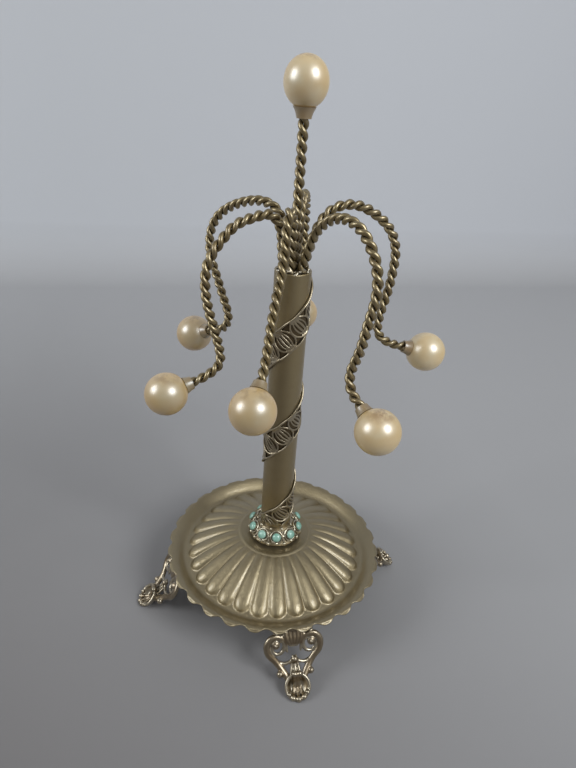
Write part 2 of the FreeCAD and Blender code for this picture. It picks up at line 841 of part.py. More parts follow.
def band_place(along, across, rise_from_tube):
    """A place on the band: distance along its middle line, across it upwards, and off the tube."""
    radius = post_radius + rise_from_tube
    turn_length = 2 * math.pi * radius
    slope = math.atan2(band_pitch, turn_length)
    azimuth = (along * math.cos(slope) - across * math.sin(slope)) * full_turn / turn_length
    height = band_front_height + along * math.sin(slope) + across * math.cos(slope)
    return polar(radius, azimuth, height)


def edge_wire(offset):
    """One of the band's two edge wires, from the collar's top to below the mouth."""
    radius = band_wire_diameter / 2
    lift = radius + solder_gap
    lowest = collar_foot_height() + collar_drop + band_foot_gap + radius
    highest = mouth_height - band_top_margin
    first = (lowest - band_front_height - offset) / band_pitch * full_turn
    last = (highest - band_front_height - offset) / band_pitch * full_turn

    def place(share):
        azimuth = first + (last - first) * share
        return polar(post_radius + lift, azimuth, lowest + (highest - lowest) * share)

    return round_wire(rows_of(place, math.ceil((last - first) / band_step)), radius)


def scroll(outer_radius, flip):
    """A C-scroll on the tube that curls in to a ball, centred on the band's place zero."""
    radius = scroll_wire_diameter / 2
    lift = radius + solder_gap
    eye_radius = scroll_eye_diameter / 2
    inner_radius = eye_radius

    def place(share):
        angle = math.radians(flip + scroll_start_angle + full_turn * scroll_turns * share)
        reach = outer_radius + (inner_radius - outer_radius) * share
        return band_place(reach * math.cos(angle), reach * math.sin(angle), lift)

    wire = round_wire(rows_of(place, scroll_steps), radius)
    return wire.fuse(ball(moved_out(place(1), eye_radius + solder_gap), eye_radius))


def moved_out(point, rise_from_tube):
    """The same place on the tube at another distance from its surface."""
    flat_length = math.hypot(point.x, point.y)
    scale = (post_radius + rise_from_tube) / flat_length
    return Vector(point.x * scale, point.y * scale, point.z)


def filigree_band():
    """Two edge wires that wind up the tube, with C-scrolls between them."""
    half_height = band_height / 2
    wires = [edge_wire(-half_height), edge_wire(half_height)]
    radius = post_radius + band_wire_diameter / 2 + solder_gap
    slope = math.atan2(band_pitch, 2 * math.pi * radius)
    half_width = half_height * math.cos(slope) - band_wire_diameter / 2
    outer_radius = half_width - scroll_wire_diameter / 2 - scroll_gap
    patterns = (scroll(outer_radius, 0), scroll(outer_radius, full_turn / 2))
    lowest = collar_foot_height() + collar_drop + band_foot_gap
    highest = mouth_height - band_top_margin
    step_height = scroll_pitch * math.sin(slope)
    step_azimuth = step_height / band_pitch * full_turn
    reach = outer_radius + scroll_wire_diameter
    first = math.ceil((lowest + reach - band_front_height) / step_height)
    last = math.floor((highest - reach - band_front_height) / step_height)
    for k in range(first, last + 1):
        copy = turned(patterns[k % 2], k * step_azimuth)
        copy.translate(up * (k * step_height))
        wires.append(copy)
    return Part.Compound(wires)


def main():
    os.makedirs("parts", exist_ok=True)
    write("base_dish", base_dish())
    front_foot = foot()
    for side, azimuth in foot_places:
        write("foot_" + side, turned(front_foot, azimuth))
    write("post_tube", post_tube())
    write("post_plug", post_plug())
    write("base_washer", base_washer())
    write("base_screw", base_screw())
    write("stone_collar", stone_collar())
    loose_stone = stone()
    for k in range(stone_count):
        place, direction = stone_axis(stone_azimuth(k))
        seat = place + direction * (bezel_height - pocket_depth)
        write("stone_%02d" % (k + 1), aimed(loose_stone, seat, direction))
    write("filigree_band", filigree_band())
    pieces = [("centre", upright_wire())]
    for number, (side, azimuth, reach, rise, drop, shares) in enumerate(arch_wires):
        pieces.append((side, arch_wire(number, azimuth, reach, rise, drop, shares)))
    for side, (strands, one_bead, one_cap) in pieces:
        write("wire_" + side + "_a", strands[0])
        write("wire_" + side + "_b", strands[1])
        write("bead_" + side, one_bead)
        write("cap_" + side, one_cap)


main()
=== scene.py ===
import bisect
import math
import random

import bpy
from mathutils import Matrix, Vector


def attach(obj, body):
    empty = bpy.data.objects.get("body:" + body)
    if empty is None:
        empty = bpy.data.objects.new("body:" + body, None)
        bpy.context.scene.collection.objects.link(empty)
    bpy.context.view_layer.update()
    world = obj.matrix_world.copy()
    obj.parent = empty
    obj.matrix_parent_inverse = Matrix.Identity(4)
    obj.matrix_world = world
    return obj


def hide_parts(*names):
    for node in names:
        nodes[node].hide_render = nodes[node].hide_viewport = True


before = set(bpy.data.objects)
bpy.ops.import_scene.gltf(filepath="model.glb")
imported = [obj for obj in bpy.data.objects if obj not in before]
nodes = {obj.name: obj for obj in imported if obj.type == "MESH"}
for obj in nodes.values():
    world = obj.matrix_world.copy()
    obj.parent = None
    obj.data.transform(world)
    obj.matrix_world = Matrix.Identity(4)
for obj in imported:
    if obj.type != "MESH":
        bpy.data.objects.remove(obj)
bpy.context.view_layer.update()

MM = 0.001
UP = Vector((0, 0, 1))
SIDES = ("front", "front_right", "back_right", "back", "back_left", "front_left")
FEET = ("front", "right", "back", "left")


# Node helpers

MIX_SHARE = 0
MIX_FIRST_COLOUR = 6
MIX_SECOND_COLOUR = 7
MIX_RESULT_COLOUR = 2


def value_node(tree, kind, **settings):
    node = tree.nodes.new(kind)
    for name, value in settings.items():
        setattr(node, name, value)
    return node


def wire_up(tree, source, target):
    tree.links.new(source, target)


def feed(tree, value, target):
    """Sets a socket to a number or a colour, or wires it to the socket that is given."""
    if isinstance(value, (int, float)):
        target.default_value = value
    elif isinstance(value, tuple):
        target.default_value = value + (1.0,)
    else:
        wire_up(tree, value, target)


def new_group(name, inputs, outputs):
    """An empty shader node group with its named sockets, and the nodes that hold them."""
    group = bpy.data.node_groups.new(name, "ShaderNodeTree")
    for label, kind, default in inputs:
        socket = group.interface.new_socket(name=label, in_out="INPUT", socket_type=kind)
        socket.default_value = default
    for label, kind in outputs:
        group.interface.new_socket(name=label, in_out="OUTPUT", socket_type=kind)
    entry = group.nodes.new("NodeGroupInput")
    result = group.nodes.new("NodeGroupOutput")
    return group, entry, result


def math_node(tree, operation, a, b, clamp=False):
    node = value_node(tree, "ShaderNodeMath", operation=operation, use_clamp=clamp)
    feed(tree, a, node.inputs[0])
    feed(tree, b, node.inputs[1])
    return node.outputs[0]


def spread(tree, source, low, high, to_low=0.0, to_high=1.0):
    """Stretches a value so that low to high becomes to_low to to_high, and holds it there."""
    node = value_node(tree, "ShaderNodeMapRange", clamp=True)
    wire_up(tree, source, node.inputs["Value"])
    for label, value in (("From Min", low), ("From Max", high), ("To Min", to_low), ("To Max", to_high)):
        node.inputs[label].default_value = value
    return node.outputs["Result"]


def blend_colours(tree, share, first, second):
    """A mix of two colours. The share and each colour are a socket or a plain value."""
    node = value_node(tree, "ShaderNodeMix", data_type="RGBA")
    feed(tree, share, node.inputs[MIX_SHARE])
    feed(tree, first, node.inputs[MIX_FIRST_COLOUR])
    feed(tree, second, node.inputs[MIX_SECOND_COLOUR])
    return node.outputs[MIX_RESULT_COLOUR]


def shaded(colour, shares):
    """A colour darkened by a share of its own in each channel."""
    return tuple(channel * share for channel, share in zip(colour, shares))


def cloud(tree, place, size, detail=3.0, roughness=0.55):
    """Soft noise whose patches are about the given size in metres."""
    node = value_node(tree, "ShaderNodeTexNoise")
    wire_up(tree, place, node.inputs["Vector"])
    node.inputs["Scale"].default_value = 1 / size
    node.inputs["Detail"].default_value = detail
    node.inputs["Roughness"].default_value = roughness
    return node.outputs["Fac"]


def object_place(tree):
    return value_node(tree, "ShaderNodeTexCoord").outputs["Object"]


# Effects that several finishes share

SHADE_AND_GRIME_RANGE = (0.22, 0.85)
EDGE_RANGE = (0.12, 0.42)
SHADE_SAMPLES = 6
SHADE_AND_WEAR_PATCH = 5 * MM
STREAK_TURN = (0.4, 0.9, 0.3)
STREAK_STRETCH = (9.0, 1.0, 1.0)
SCRATCH_WIDTH = 1.6 * MM
SCRATCH_RANGE = (0.60, 0.68)
SCRATCH_DEPTH_SHARE = 0.12
PIT_SIZE = 0.9 * MM
PIT_DEPTH_SHARE = 0.45
TARNISH_PATCH = 9 * MM


def make_shade_and_wear_group():
    """Painted shade, with dirt and patina, in hollows and between parts where ambient occlusion finds them
    closed in, and where rubbing has brightened the edges.
    """
    group, entry, result = new_group(
        "shade_and_wear",
        [("Reach", "NodeSocketFloat", 2 * MM), ("Patchiness", "NodeSocketFloat", 0.35)],
        [("Shade And Grime", "NodeSocketFloat"), ("Edge", "NodeSocketFloat")],
    )
    patches = cloud(group, object_place(group), SHADE_AND_WEAR_PATCH, 4.0, 0.6)
    off_middle = math_node(group, "SUBTRACT", patches, 0.5)
    uneven = math_node(group, "MULTIPLY", off_middle, entry.outputs["Patchiness"])
    # The first mask is painted shade with dirt where ambient occlusion is closed; the second is the rubbed
    # edges.
    for label, inside, limits in (("Shade And Grime", False, SHADE_AND_GRIME_RANGE), ("Edge", True, EDGE_RANGE)):
        shade = value_node(group, "ShaderNodeAmbientOcclusion", inside=inside, samples=SHADE_SAMPLES)
        wire_up(group, entry.outputs["Reach"], shade.inputs["Distance"])
        closed = math_node(group, "SUBTRACT", 1.0, shade.outputs["AO"])
        mixed = math_node(group, "ADD", closed, uneven)
        wire_up(group, spread(group, mixed, *limits), result.inputs[label])
    return group


def make_surface_group():
    """The small unevenness of cast and rubbed metal: dents, fine scratches and pits."""
    group, entry, result = new_group(
        "rubbed_surface",
        [("Dent Size", "NodeSocketFloat", 3 * MM)],
        [("Height", "NodeSocketFloat"), ("Patch", "NodeSocketFloat")],
    )
    place = object_place(group)
    scaled = value_node(group, "ShaderNodeVectorMath", operation="SCALE")
    wire_up(group, place, scaled.inputs[0])
    wire_up(group, math_node(group, "DIVIDE", 1.0, entry.outputs["Dent Size"]), scaled.inputs["Scale"])
    dents = cloud(group, scaled.outputs[0], 1.0, 5.0, 0.62)
    streaks = value_node(group, "ShaderNodeMapping")
    wire_up(group, place, streaks.inputs["Vector"])
    streaks.inputs["Rotation"].default_value = STREAK_TURN
    streaks.inputs["Scale"].default_value = STREAK_STRETCH
    lines = cloud(group, streaks.outputs[0], SCRATCH_WIDTH, 2.0, 0.5)
    scratch = spread(group, lines, *SCRATCH_RANGE)
    wire_up(group, cloud(group, place, TARNISH_PATCH, 5.0, 0.68), result.inputs["Patch"])
    pits = cloud(group, place, PIT_SIZE, 3.0, 0.6)
    hammered = math_node(group, "ADD", dents, math_node(group, "MULTIPLY", pits, PIT_DEPTH_SHARE))
    scratched = math_node(group, "MULTIPLY", scratch, SCRATCH_DEPTH_SHARE)
    wire_up(group, math_node(group, "SUBTRACT", hammered, scratched), result.inputs["Height"])
    return group


shade_and_wear = make_shade_and_wear_group()
surface = make_surface_group()


def place_group(tree, group, **values):
    node = value_node(tree, "ShaderNodeGroup", node_tree=group)
    for label, value in values.items():
        node.inputs[label].default_value = value
    return node


def new_material(name):
    material = bpy.data.materials.new(name)
    material.use_nodes = True
    tree = material.node_tree
    return material, tree, tree.nodes["Principled BSDF"]


def set_values(shader, **values):
    """Sets the shader's plain values, named with underscores for spaces."""
    for label, value in values.items():
        shader.inputs[label.replace("_", " ")].default_value = value


def bump_into(tree, shader, height, depth):
    bump = value_node(tree, "ShaderNodeBump")
    bump.inputs["Strength"].default_value = 1.0
    bump.inputs["Distance"].default_value = depth
    wire_up(tree, height, bump.inputs["Height"])
    wire_up(tree, bump.outputs["Normal"], shader.inputs["Normal"])


# Finishes

# The colour of painted shade, with dark patina, in hollows and between parts.
SHADE_AND_GRIME_COLOUR = (0.030, 0.022, 0.012)
RUBBED = (0.48, 0.42, 0.31)
TARNISH_SHARES = (0.66, 0.60, 0.52)
PATCH_RANGE = (0.38, 0.66)
WIDE_RANGE = (0.3, 0.7)
SHADE_AND_GRIME_COVER = 0.45
SHADE_AND_GRIME_ROUGHNESS = 0.25
PATCH_SMOOTHER = 0.05
PATCH_ROUGHER = 0.08
RUBBED_SMOOTHER = 0.08
STAIN_SHARES = (0.58, 0.47, 0.34)
STAIN_RANGE = (0.42, 0.60)
CROWN_RANGE = (0.72, 0.97)
PEARL_LUSTRE = 0.1
PEARL_SHEEN = (0.80, 0.91, 1.0, 1.0)
PEARL_RIM_GLOW_BLEND = 0.36
STONE_DEEP = (0.23, 0.47, 0.37)
STONE_PALE = (0.42, 0.64, 0.54)
STONE_RIM_SHADE = (0.07, 0.27, 0.19)
STONE_SPECK = (0.16, 0.17, 0.10)
STONE_RIM_SHADE_BLEND = 0.3
SPECK_RANGE = (0.66, 0.74)


def aged_plate(name, plate, rubbed, rough, reach, dents, hollow=SHADE_AND_GRIME_COLOUR, shade_and_grime_strength=1.0, shine=1.0, polish=0.5):
    """Worn silver plate: darkened in its hollows and next to other parts by painted shade with patina,
    brighter where it is rubbed, and under a thin polish.
    """
    material, tree, shader = new_material(name)
    worn = place_group(tree, shade_and_wear, Reach=reach)
    skin = place_group(tree, surface)
    patch = skin.outputs["Patch"]
    patchy = blend_colours(tree, spread(tree, patch, *PATCH_RANGE), plate, shaded(plate, TARNISH_SHARES))
    edge = math_node(tree, "MULTIPLY", worn.outputs["Edge"], shine, clamp=True)
    polished = blend_colours(tree, edge, patchy, rubbed)
    # Painted shade with patina: the colour darkens where ambient occlusion finds hollows and neighbouring
    # parts.
    shade_and_grime_share = math_node(tree, "MULTIPLY", worn.outputs["Shade And Grime"], shade_and_grime_strength, clamp=True)
    wire_up(tree, blend_colours(tree, shade_and_grime_share, polished, hollow), shader.inputs["Base Color"])
    covered = math_node(tree, "MULTIPLY", shade_and_grime_share, SHADE_AND_GRIME_COVER)
    wire_up(tree, math_node(tree, "SUBTRACT", 1.0, covered), shader.inputs["Metallic"])
    uneven = spread(tree, patch, *WIDE_RANGE, rough - PATCH_SMOOTHER, rough + PATCH_ROUGHER)
    duller = math_node(tree, "ADD", uneven, math_node(tree, "MULTIPLY", shade_and_grime_share, SHADE_AND_GRIME_ROUGHNESS))
    smoothed = math_node(tree, "MULTIPLY", edge, RUBBED_SMOOTHER)
    wire_up(tree, math_node(tree, "SUBTRACT", duller, smoothed, clamp=True), shader.inputs["Roughness"])
    bump_into(tree, shader, skin.outputs["Height"], dents)
    set_values(shader, Coat_Weight=polish, Coat_Roughness=0.2, Coat_IOR=1.8)
    return material


def pearl_finish(name, body, warm, rim, stains, gloss=1.0):
    """Pearl lacquer: golden cream with warmer clouds, an amber rim that is a painted glow by how far the
    surface turns from the view, and lacquer worn brown at the crown.
    """
    material, tree, shader = new_material(name)
    place = object_place(tree)
    turn = value_node(tree, "ShaderNodeLayerWeight")
    turn.inputs["Blend"].default_value = PEARL_RIM_GLOW_BLEND
    clouds = spread(tree, cloud(tree, place, 9 * MM, 2.0), *PATCH_RANGE)
    # The amber rim is a painted glow, by how far the surface turns from the view.
    with_painted_rim = blend_colours(tree, turn.outputs["Facing"], blend_colours(tree, clouds, body, warm), rim)
    facing = value_node(tree, "ShaderNodeSeparateXYZ")
    wire_up(tree, value_node(tree, "ShaderNodeNewGeometry").outputs["Normal"], facing.inputs[0])
    crown = spread(tree, facing.outputs["Z"], *CROWN_RANGE)
    patches = spread(tree, cloud(tree, place, 3.2 * MM, 4.0, 0.65), *STAIN_RANGE)
    spots = math_node(tree, "MULTIPLY", math_node(tree, "MULTIPLY", crown, patches), stains)
    stained = blend_colours(tree, spots, with_painted_rim, shaded(warm, STAIN_SHARES))
    wire_up(tree, stained, shader.inputs["Base Color"])
    flecks = cloud(tree, place, 0.6 * MM, 2.0)
    wire_up(tree, spread(tree, flecks, *WIDE_RANGE, 0.38, 0.46), shader.inputs["Roughness"])
    bump_into(tree, shader, flecks, 0.004 * MM)
    set_values(shader, Metallic=PEARL_LUSTRE * gloss, IOR=1.6)
    set_values(shader, Specular_IOR_Level=1.0, Specular_Tint=PEARL_SHEEN)
    set_values(shader, Coat_Weight=gloss, Coat_Roughness=0.33, Coat_IOR=2.2)
    return material


def stone_finish(name):
    """Polished pale green stone, cloudy inside, darker at its rim by painted shade that follows how far the
    surface turns from the view, and with a few brown specks.
    """
    material, tree, shader = new_material(name)
    place = object_place(tree)
    clouds = spread(tree, cloud(tree, place, 1.6 * MM, 3.0), *WIDE_RANGE)
    turn = value_node(tree, "ShaderNodeLayerWeight")
    turn.inputs["Blend"].default_value = STONE_RIM_SHADE_BLEND
    body = blend_colours(tree, clouds, STONE_DEEP, STONE_PALE)
    # The dark rim is painted shade, by how far the surface turns from the view.
    with_painted_rim = blend_colours(tree, turn.outputs["Facing"], body, STONE_RIM_SHADE)
    specks = spread(tree, cloud(tree, place, 0.5 * MM, 2.0), *SPECK_RANGE)
    wire_up(tree, blend_colours(tree, specks, with_painted_rim, STONE_SPECK), shader.inputs["Base Color"])
    wire_up(tree, spread(tree, clouds, 0, 1, 0.22, 0.34), shader.inputs["Roughness"])
    bump_into(tree, shader, clouds, 0.01 * MM)
    set_values(shader, Coat_Weight=0.6, Coat_Roughness=0.12)
    return material


# Mesh helpers

CAP_STEPS = ((0.87, 0.5), (0.5, 0.87))
BALL_SIDES = 12


def round_place(reach, azimuth, height):
    """A place about the upright axis, from the front round to the right, in metres."""
    return Vector((reach * math.sin(azimuth), -reach * math.cos(azimuth), height)) * MM


def in_metres(pairs):
    return [(a * MM, b * MM) for a, b in pairs]


def smooth_mesh(name, points, faces):
    mesh = bpy.data.meshes.new(name)
    mesh.from_pydata(points, [], faces)
    mesh.shade_smooth()
    return mesh


class Casting:
    """Gathers closed tubes, balls and turned shapes that are joined into one cast piece."""

    def __init__(self):
        self.points = []
        self.faces = []

    def add_skin(self, start, rings, end):
        """Closes a row of equal rings with a point at each end."""
        first = len(self.points)
        count = len(rings[0])
        for ring in rings:
            self.points.extend(ring)
        self.points.extend((start, end))
        start_index = len(self.points) - 2
        last = first + (len(rings) - 1) * count
        for k in range(count):
            following = (k + 1) % count
            self.faces.append((start_index, first + following, first + k))
            self.faces.append((start_index + 1, last + k, last + following))
            for low in range(first, last, count):
                self.faces.append((low + k, low + following, low + count + following, low + count + k))

    def add_tube(self, path, radii, sides, guides=None, flat=1.0):
        """A tube with round ends. It is flattened along the guide directions, where they are given."""
        steps = [(b - a).normalized() for a, b in zip(path, path[1:])]
        ways = [steps[0]] + [(a + b).normalized() for a, b in zip(steps, steps[1:])] + [steps[-1]]
        side = ways[0].orthogonal().normalized()
        rings = []

        def add_ring(centre, way, radius):
            beside = way.cross(side)
            ring = []
            for step in range(sides):
                angle = 2 * math.pi * step / sides
                offset = side * (math.cos(angle) * flat) + beside * math.sin(angle)
                ring.append(centre + offset * radius)
            rings.append(ring)

        for k, (centre, way, radius) in enumerate(zip(path, ways, radii)):
            guide = guides[k] if guides else side
            side = (guide - way * guide.dot(way)).normalized()
            if k == 0:
                for shift, share in CAP_STEPS:
                    add_ring(centre - way * (radius * shift), way, radius * share)
            add_ring(centre, way, radius)
            if k == len(path) - 1:
                for shift, share in reversed(CAP_STEPS):
                    add_ring(centre + way * (radius * shift), way, radius * share)
        self.add_skin(path[0] - ways[0] * radii[0], rings, path[-1] + ways[-1] * radii[-1])

    def add_turned(self, centre, axis, profile, sides):
        """A solid turned about an axis. The profile runs from the axis back to the axis."""
        axis = axis.normalized()
        side = axis.orthogonal().normalized()
        beside = axis.cross(side)
        rings = []
        for radius, along in profile[1:-1]:
            ring = []
            for step in range(sides):
                angle = 2 * math.pi * step / sides
                spoke = side * math.cos(angle) + beside * math.sin(angle)
                ring.append(centre + axis * along + spoke * radius)
            rings.append(ring)
        self.add_skin(centre + axis * profile[0][1], rings, centre + axis * profile[-1][1])

    def add_ball(self, centre, radius, axis=UP, squash=1.0):
        steps = BALL_SIDES // 2
        profile = [
            (radius * math.sin(math.pi * k / steps), -radius * squash * math.cos(math.pi * k / steps))
            for k in range(steps + 1)
        ]
        self.add_turned(centre, axis, profile, BALL_SIDES)

    def make(self, name, voxel=0.0, smoothing=0):
        """The mesh of it all, fused and softened as a casting where a voxel size is given."""
        mesh = smooth_mesh(name, self.points, self.faces)
        if not voxel:
            return mesh
        rough = bpy.data.objects.new(name, mesh)
        bpy.context.scene.collection.objects.link(rough)
        remesh = rough.modifiers.new("fuse", "REMESH")
        remesh.mode = "VOXEL"
        remesh.voxel_size = voxel
        remesh.use_smooth_shade = True
        soften = rough.modifiers.new("soften", "SMOOTH")
        soften.factor = 0.5
        soften.iterations = smoothing
        graph = bpy.context.evaluated_depsgraph_get()
        fused = bpy.data.meshes.new_from_object(rough.evaluated_get(graph))
        bpy.data.objects.remove(rough)
        bpy.data.meshes.remove(mesh)
        fused.name = name
        return fused


def add_piece(name, mesh, material, replaced=()):
    piece = bpy.data.objects.new(name, mesh)
    bpy.context.scene.collection.objects.link(piece)
    mesh.materials.clear()
    mesh.materials.append(material)
    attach(piece, "root")
    if replaced:
        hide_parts(*replaced)
    return piece


def blend_points(stops, share):
    """A smooth value along stops of place and value, by the cubic that passes through them."""
    for k in range(len(stops) - 1):
        if share <= stops[k + 1][0] or k == len(stops) - 2:
            break
    (a, low), (b, high) = stops[k], stops[k + 1]
    before = stops[k - 1] if k else stops[k]
    after = stops[k + 2] if k + 2 < len(stops) else stops[k + 1]
    rise_in = (high - before[1]) / (b - before[0])
    rise_out = (after[1] - low) / (after[0] - a)
    t = (share - a) / (b - a)
    width = b - a
    return (
        low * (2 * t ** 3 - 3 * t ** 2 + 1) + rise_in * width * (t ** 3 - 2 * t ** 2 + t)
        + high * (3 * t ** 2 - 2 * t ** 3) + rise_out * width * (t ** 3 - t ** 2)
    )


# Fluted dish, in millimetres and degrees

FLUTE_COUNT = 30
FLUTE_AZIMUTH = 5.5
HALF_FLUTE = math.radians(180 / FLUTE_COUNT)
COLUMNS_PER_FLUTE = 24
HUB_RADIUS = 17.3
LIP_RADIUS = 50.3
SHEET = 1.0
LIP_SHEET = 0.72
LIP_ROUND_STEPS = 5
LIP_THINNING_ROWS = 8
# Each finger ends bluntly where its round end turns, and swells more squarely the further out it runs.
FINGER_TURN = 37.5
FINGER_END = 42.2
FINGER_WIDTH_SHARE = 0.97
FINGER_ROUNDNESS = 2.3
FULLNESS_GAIN = 0.45
FULLNESS_RUN = 14
FINGER_REACH_SPREAD = (-0.3, 0.25)
FINGER_RISE_SPREAD = (0.93, 1.06)
FINGER_WIDTH_SPREAD = (0.96, 1.0)
SMOOTHING_SWEEPS = 2
# The lip is cut back between its lobes, along the curve of the rim.
SCALLOP_CUT = 2.0
SCALLOP_REACH = 5.5
LOBE_ROUNDNESS = 1.3
RIM_RUN = 7
RIM_STEPS_PER_MM = 20
RIM_STEPS = RIM_RUN * RIM_STEPS_PER_MM
# The rows of points lie close together where the form turns fast: their own radii, then ends and steps.
SEAT_ROWS = (2.2, 6.0, 12.0, 14.4)
ROW_RUNS = ((17.4, 0.25), (34.0, 0.6), (43.0, 0.22), (49.0, 0.35), (LIP_RADIUS, 0.12))
# Radius and height along the grooves, out through the trough and over the rim to the lip.
VALLEY_LINE = (
    (17.3, 33.0), (18.72, 32.6), (22.04, 31.52), (27.49, 29.14), (32.94, 25.96), (36.97, 23.41), (39.34, 22.1),
    (41.0, 21.6), (42.2, 21.3), (43.2, 21.5), (44.2, 22.15), (45.3, 23.05), (46.4, 23.85), (47.4, 24.45),
    (48.3, 24.85), (49.1, 25.02), (49.7, 24.95), (50.05, 24.72), (50.2, 24.5), (50.3, 24.25),
)
# Radius and rise of a finger's back over the groove beside it.
FINGER_RISE = (
    (17.3, 0.0), (18.72, 0.35), (22.04, 0.68), (27.49, 1.18), (32.94, 1.75), (36.97, 2.2), (41.0, 2.3),
)
# Radius and height over the raised ring round the seat.
RING_LINE = ((13.8, 33.0), (15.2, 33.2), (16.2, 33.4), (16.8, 33.3), (17.3, 33.0))


def dish_rows():
    """The radii of the dish's rows of points."""
    rows = list(SEAT_ROWS)
    for end, step in ROW_RUNS:
        start = rows[-1]
        count = math.ceil((end - start) / step)
        rows.extend(start + (end - start) * k / count for k in range(1, count + 1))
    return rows


def dish_height(radius, turn, finger):
    """The height of the dish's top at a radius and a turn from the middle of its nearest finger."""
    ring_start, seat_height = RING_LINE[0]
    if radius <= ring_start:
        return seat_height
    if radius < HUB_RADIUS:
        return blend_points(RING_LINE, radius)
    base = blend_points(VALLEY_LINE, radius)
    if radius > FINGER_END:
        return base
    far, high, wide = finger
    half_width = min(radius, FINGER_TURN + far) * math.tan(HALF_FLUTE) * FINGER_WIDTH_SHARE * wide
    beyond = max(radius - FINGER_TURN - far, 0.0)
    share = math.hypot(radius * math.sin(turn), beyond) / half_width
    if share >= 1:
        return base
    fullness = 1.0 - FULLNESS_GAIN * min((radius - HUB_RADIUS) / FULLNESS_RUN, 1.0)
    return base + blend_points(FINGER_RISE, radius) * high * (1 - share ** FINGER_ROUNDNESS) ** fullness


def rim_run():
    """Close places of radius and height along the rim's curve, and how far along it each one lies."""
    start = LIP_RADIUS - RIM_RUN
    places = []
    for step in range(RIM_STEPS + 1):
        radius = start + RIM_RUN * step / RIM_STEPS
        places.append((radius, blend_points(VALLEY_LINE, radius)))
    lengths = [0.0]
    for here, beyond in zip(places, places[1:]):
        lengths.append(lengths[-1] + math.dist(here, beyond))
    return places, lengths


def place_along(places, lengths, length):
    """The radius and height at a length along the rim's curve."""
    number = min(bisect.bisect_right(lengths, length), len(lengths) - 1)
    share = (length - lengths[number - 1]) / (lengths[number] - lengths[number - 1])
    (near, low), (far, high) = places[number - 1], places[number]
    return near + (far - near) * share, low + (high - low) * share


def finger_heights(rows, turns):
    """The height at each row and column, with fingers that differ a little from one to the next."""
    chance = random.Random(11)
    fingers = []
    for number in range(FLUTE_COUNT):
        far = chance.uniform(*FINGER_REACH_SPREAD)
        high = chance.uniform(*FINGER_RISE_SPREAD)
        wide = chance.uniform(*FINGER_WIDTH_SPREAD)
        fingers.append((far, high, wide))
    columns = len(turns)
    heights = []
    for radius in rows:
        heights.append([
            dish_height(radius, turn, fingers[k // COLUMNS_PER_FLUTE]) for k, turn in enumerate(turns)
        ])
    for sweep in range(SMOOTHING_SWEEPS):
        heights = [
            [(row[k - 1] + 2 * row[k] + row[(k + 1) % columns]) / 4 for k in range(columns)] for row in heights
        ]
    return heights


def dish_casting():
    """The pressed dish: seat, ring, thirty blunt fingers, trough, and a rim that rolls over to round lobes."""
    each = COLUMNS_PER_FLUTE
    columns = FLUTE_COUNT * each
    rows = dish_rows()
    turns = [((k % each + 0.5) / each - 0.5) * 2 * HALF_FLUTE for k in range(columns)]
    heights = finger_heights(rows, turns)
    rim_line, rim_lengths = rim_run()
    rim_start = rim_line[0][0]
    whole = rim_lengths[-1]
    lobe_shares = [((1 - math.cos(math.pi * turn / HALF_FLUTE)) / 2) ** LOBE_ROUNDNESS for turn in turns]
    top = []
    for radius, row in zip(rows, heights):
        length = rim_lengths[max(round((radius - rim_start) * RIM_STEPS_PER_MM), 0)]
        fade = max(1 - (whole - length) / SCALLOP_REACH, 0.0) ** 2
        for k, height in enumerate(row):
            azimuth = math.radians(FLUTE_AZIMUTH) + (k // each) * 2 * HALF_FLUTE + turns[k]
            reach = radius
            if fade:
                cut = SCALLOP_CUT * fade * lobe_shares[k]
                reach, height = place_along(rim_line, rim_lengths, length - cut)
            top.append(round_place(reach, azimuth, height))
    return closed_sheet("dish", top, len(rows), columns)


def closed_sheet(name, top, row_count, columns):
    """A ring-shaped sheet from the points of its top, thinner at its round outer edge than inside."""
    points = list(top)
    last = (row_count - 1) * columns
    for step in range(1, LIP_ROUND_STEPS + 1):
        angle = math.pi * step / (LIP_ROUND_STEPS + 1)
        for k in range(columns):
            here = top[last + k]
            outward = Vector((here.x, here.y, 0)).normalized()
            bulge = outward * math.sin(angle) - Vector((0, 0, 1 - math.cos(angle)))
            points.append(here + bulge * (LIP_SHEET / 2 * MM))
    for row in reversed(range(row_count)):
        thickness = LIP_SHEET + (SHEET - LIP_SHEET) * min((row_count - 1 - row) / LIP_THINNING_ROWS, 1)
        for k in range(columns):
            points.append(top[row * columns + k] - Vector((0, 0, thickness * MM)))
    total = len(points) // columns
    faces = []
    for row in range(total):
        here = row * columns
        following = (row + 1) % total * columns
        for k in range(columns):
            beside = (k + 1) % columns
            faces.append((here + k, following + k, following + beside, here + beside))
    return smooth_mesh(name, points, faces)


# Feet, in millimetres: places are across the foot's middle and up from the floor

FOOT_AZIMUTHS = {"front": 13.3, "right": 105.5, "back": 196.0, "left": -72.0}
# Height and reach of the foot's middle skin.
FOOT_LINE = ((4.6, 57.4), (8.2, 53.2), (12.2, 50.6), (16.3, 48.45), (20.7, 46.2), (24.0, 44.6))
FOOT_TUBE_SIDES = 12
FOOT_TUBE_STEPS = 8
VOLUTE_FLATNESS = 0.8
VOLUTE_MIDDLE = (7.2, 15.1)
VOLUTE_LIFT = 0.35
VOLUTE_FATNESS = 1.08
# Across, height, radius and lift of the stem, then turn in degrees, reach and radius of the curl.
VOLUTE_STEM = ((3.2, 4.4, 1.5, 0.0), (5.4, 6.7, 1.5, 0.1), (8.2, 9.7, 1.45, 0.2))
VOLUTE_CURL = (
    (-35, 4.55, 1.4), (10, 4.3, 1.35), (55, 3.8, 1.3), (100, 3.4, 1.15), (145, 3.3, 0.95),
    (190, 3.25, 0.82), (235, 3.2, 0.75), (280, 3.0, 0.68), (325, 2.5, 0.62), (370, 1.9, 0.6),
)
EYE_PLACE = (7.7, 15.7)
EYE_LIFT = 0.5
EYE_BEAD_LIFT = 1.5
EYE_RADIUS = 1.95
EYE_SQUASH = 0.62
EYE_BEAD_RADIUS = 0.75
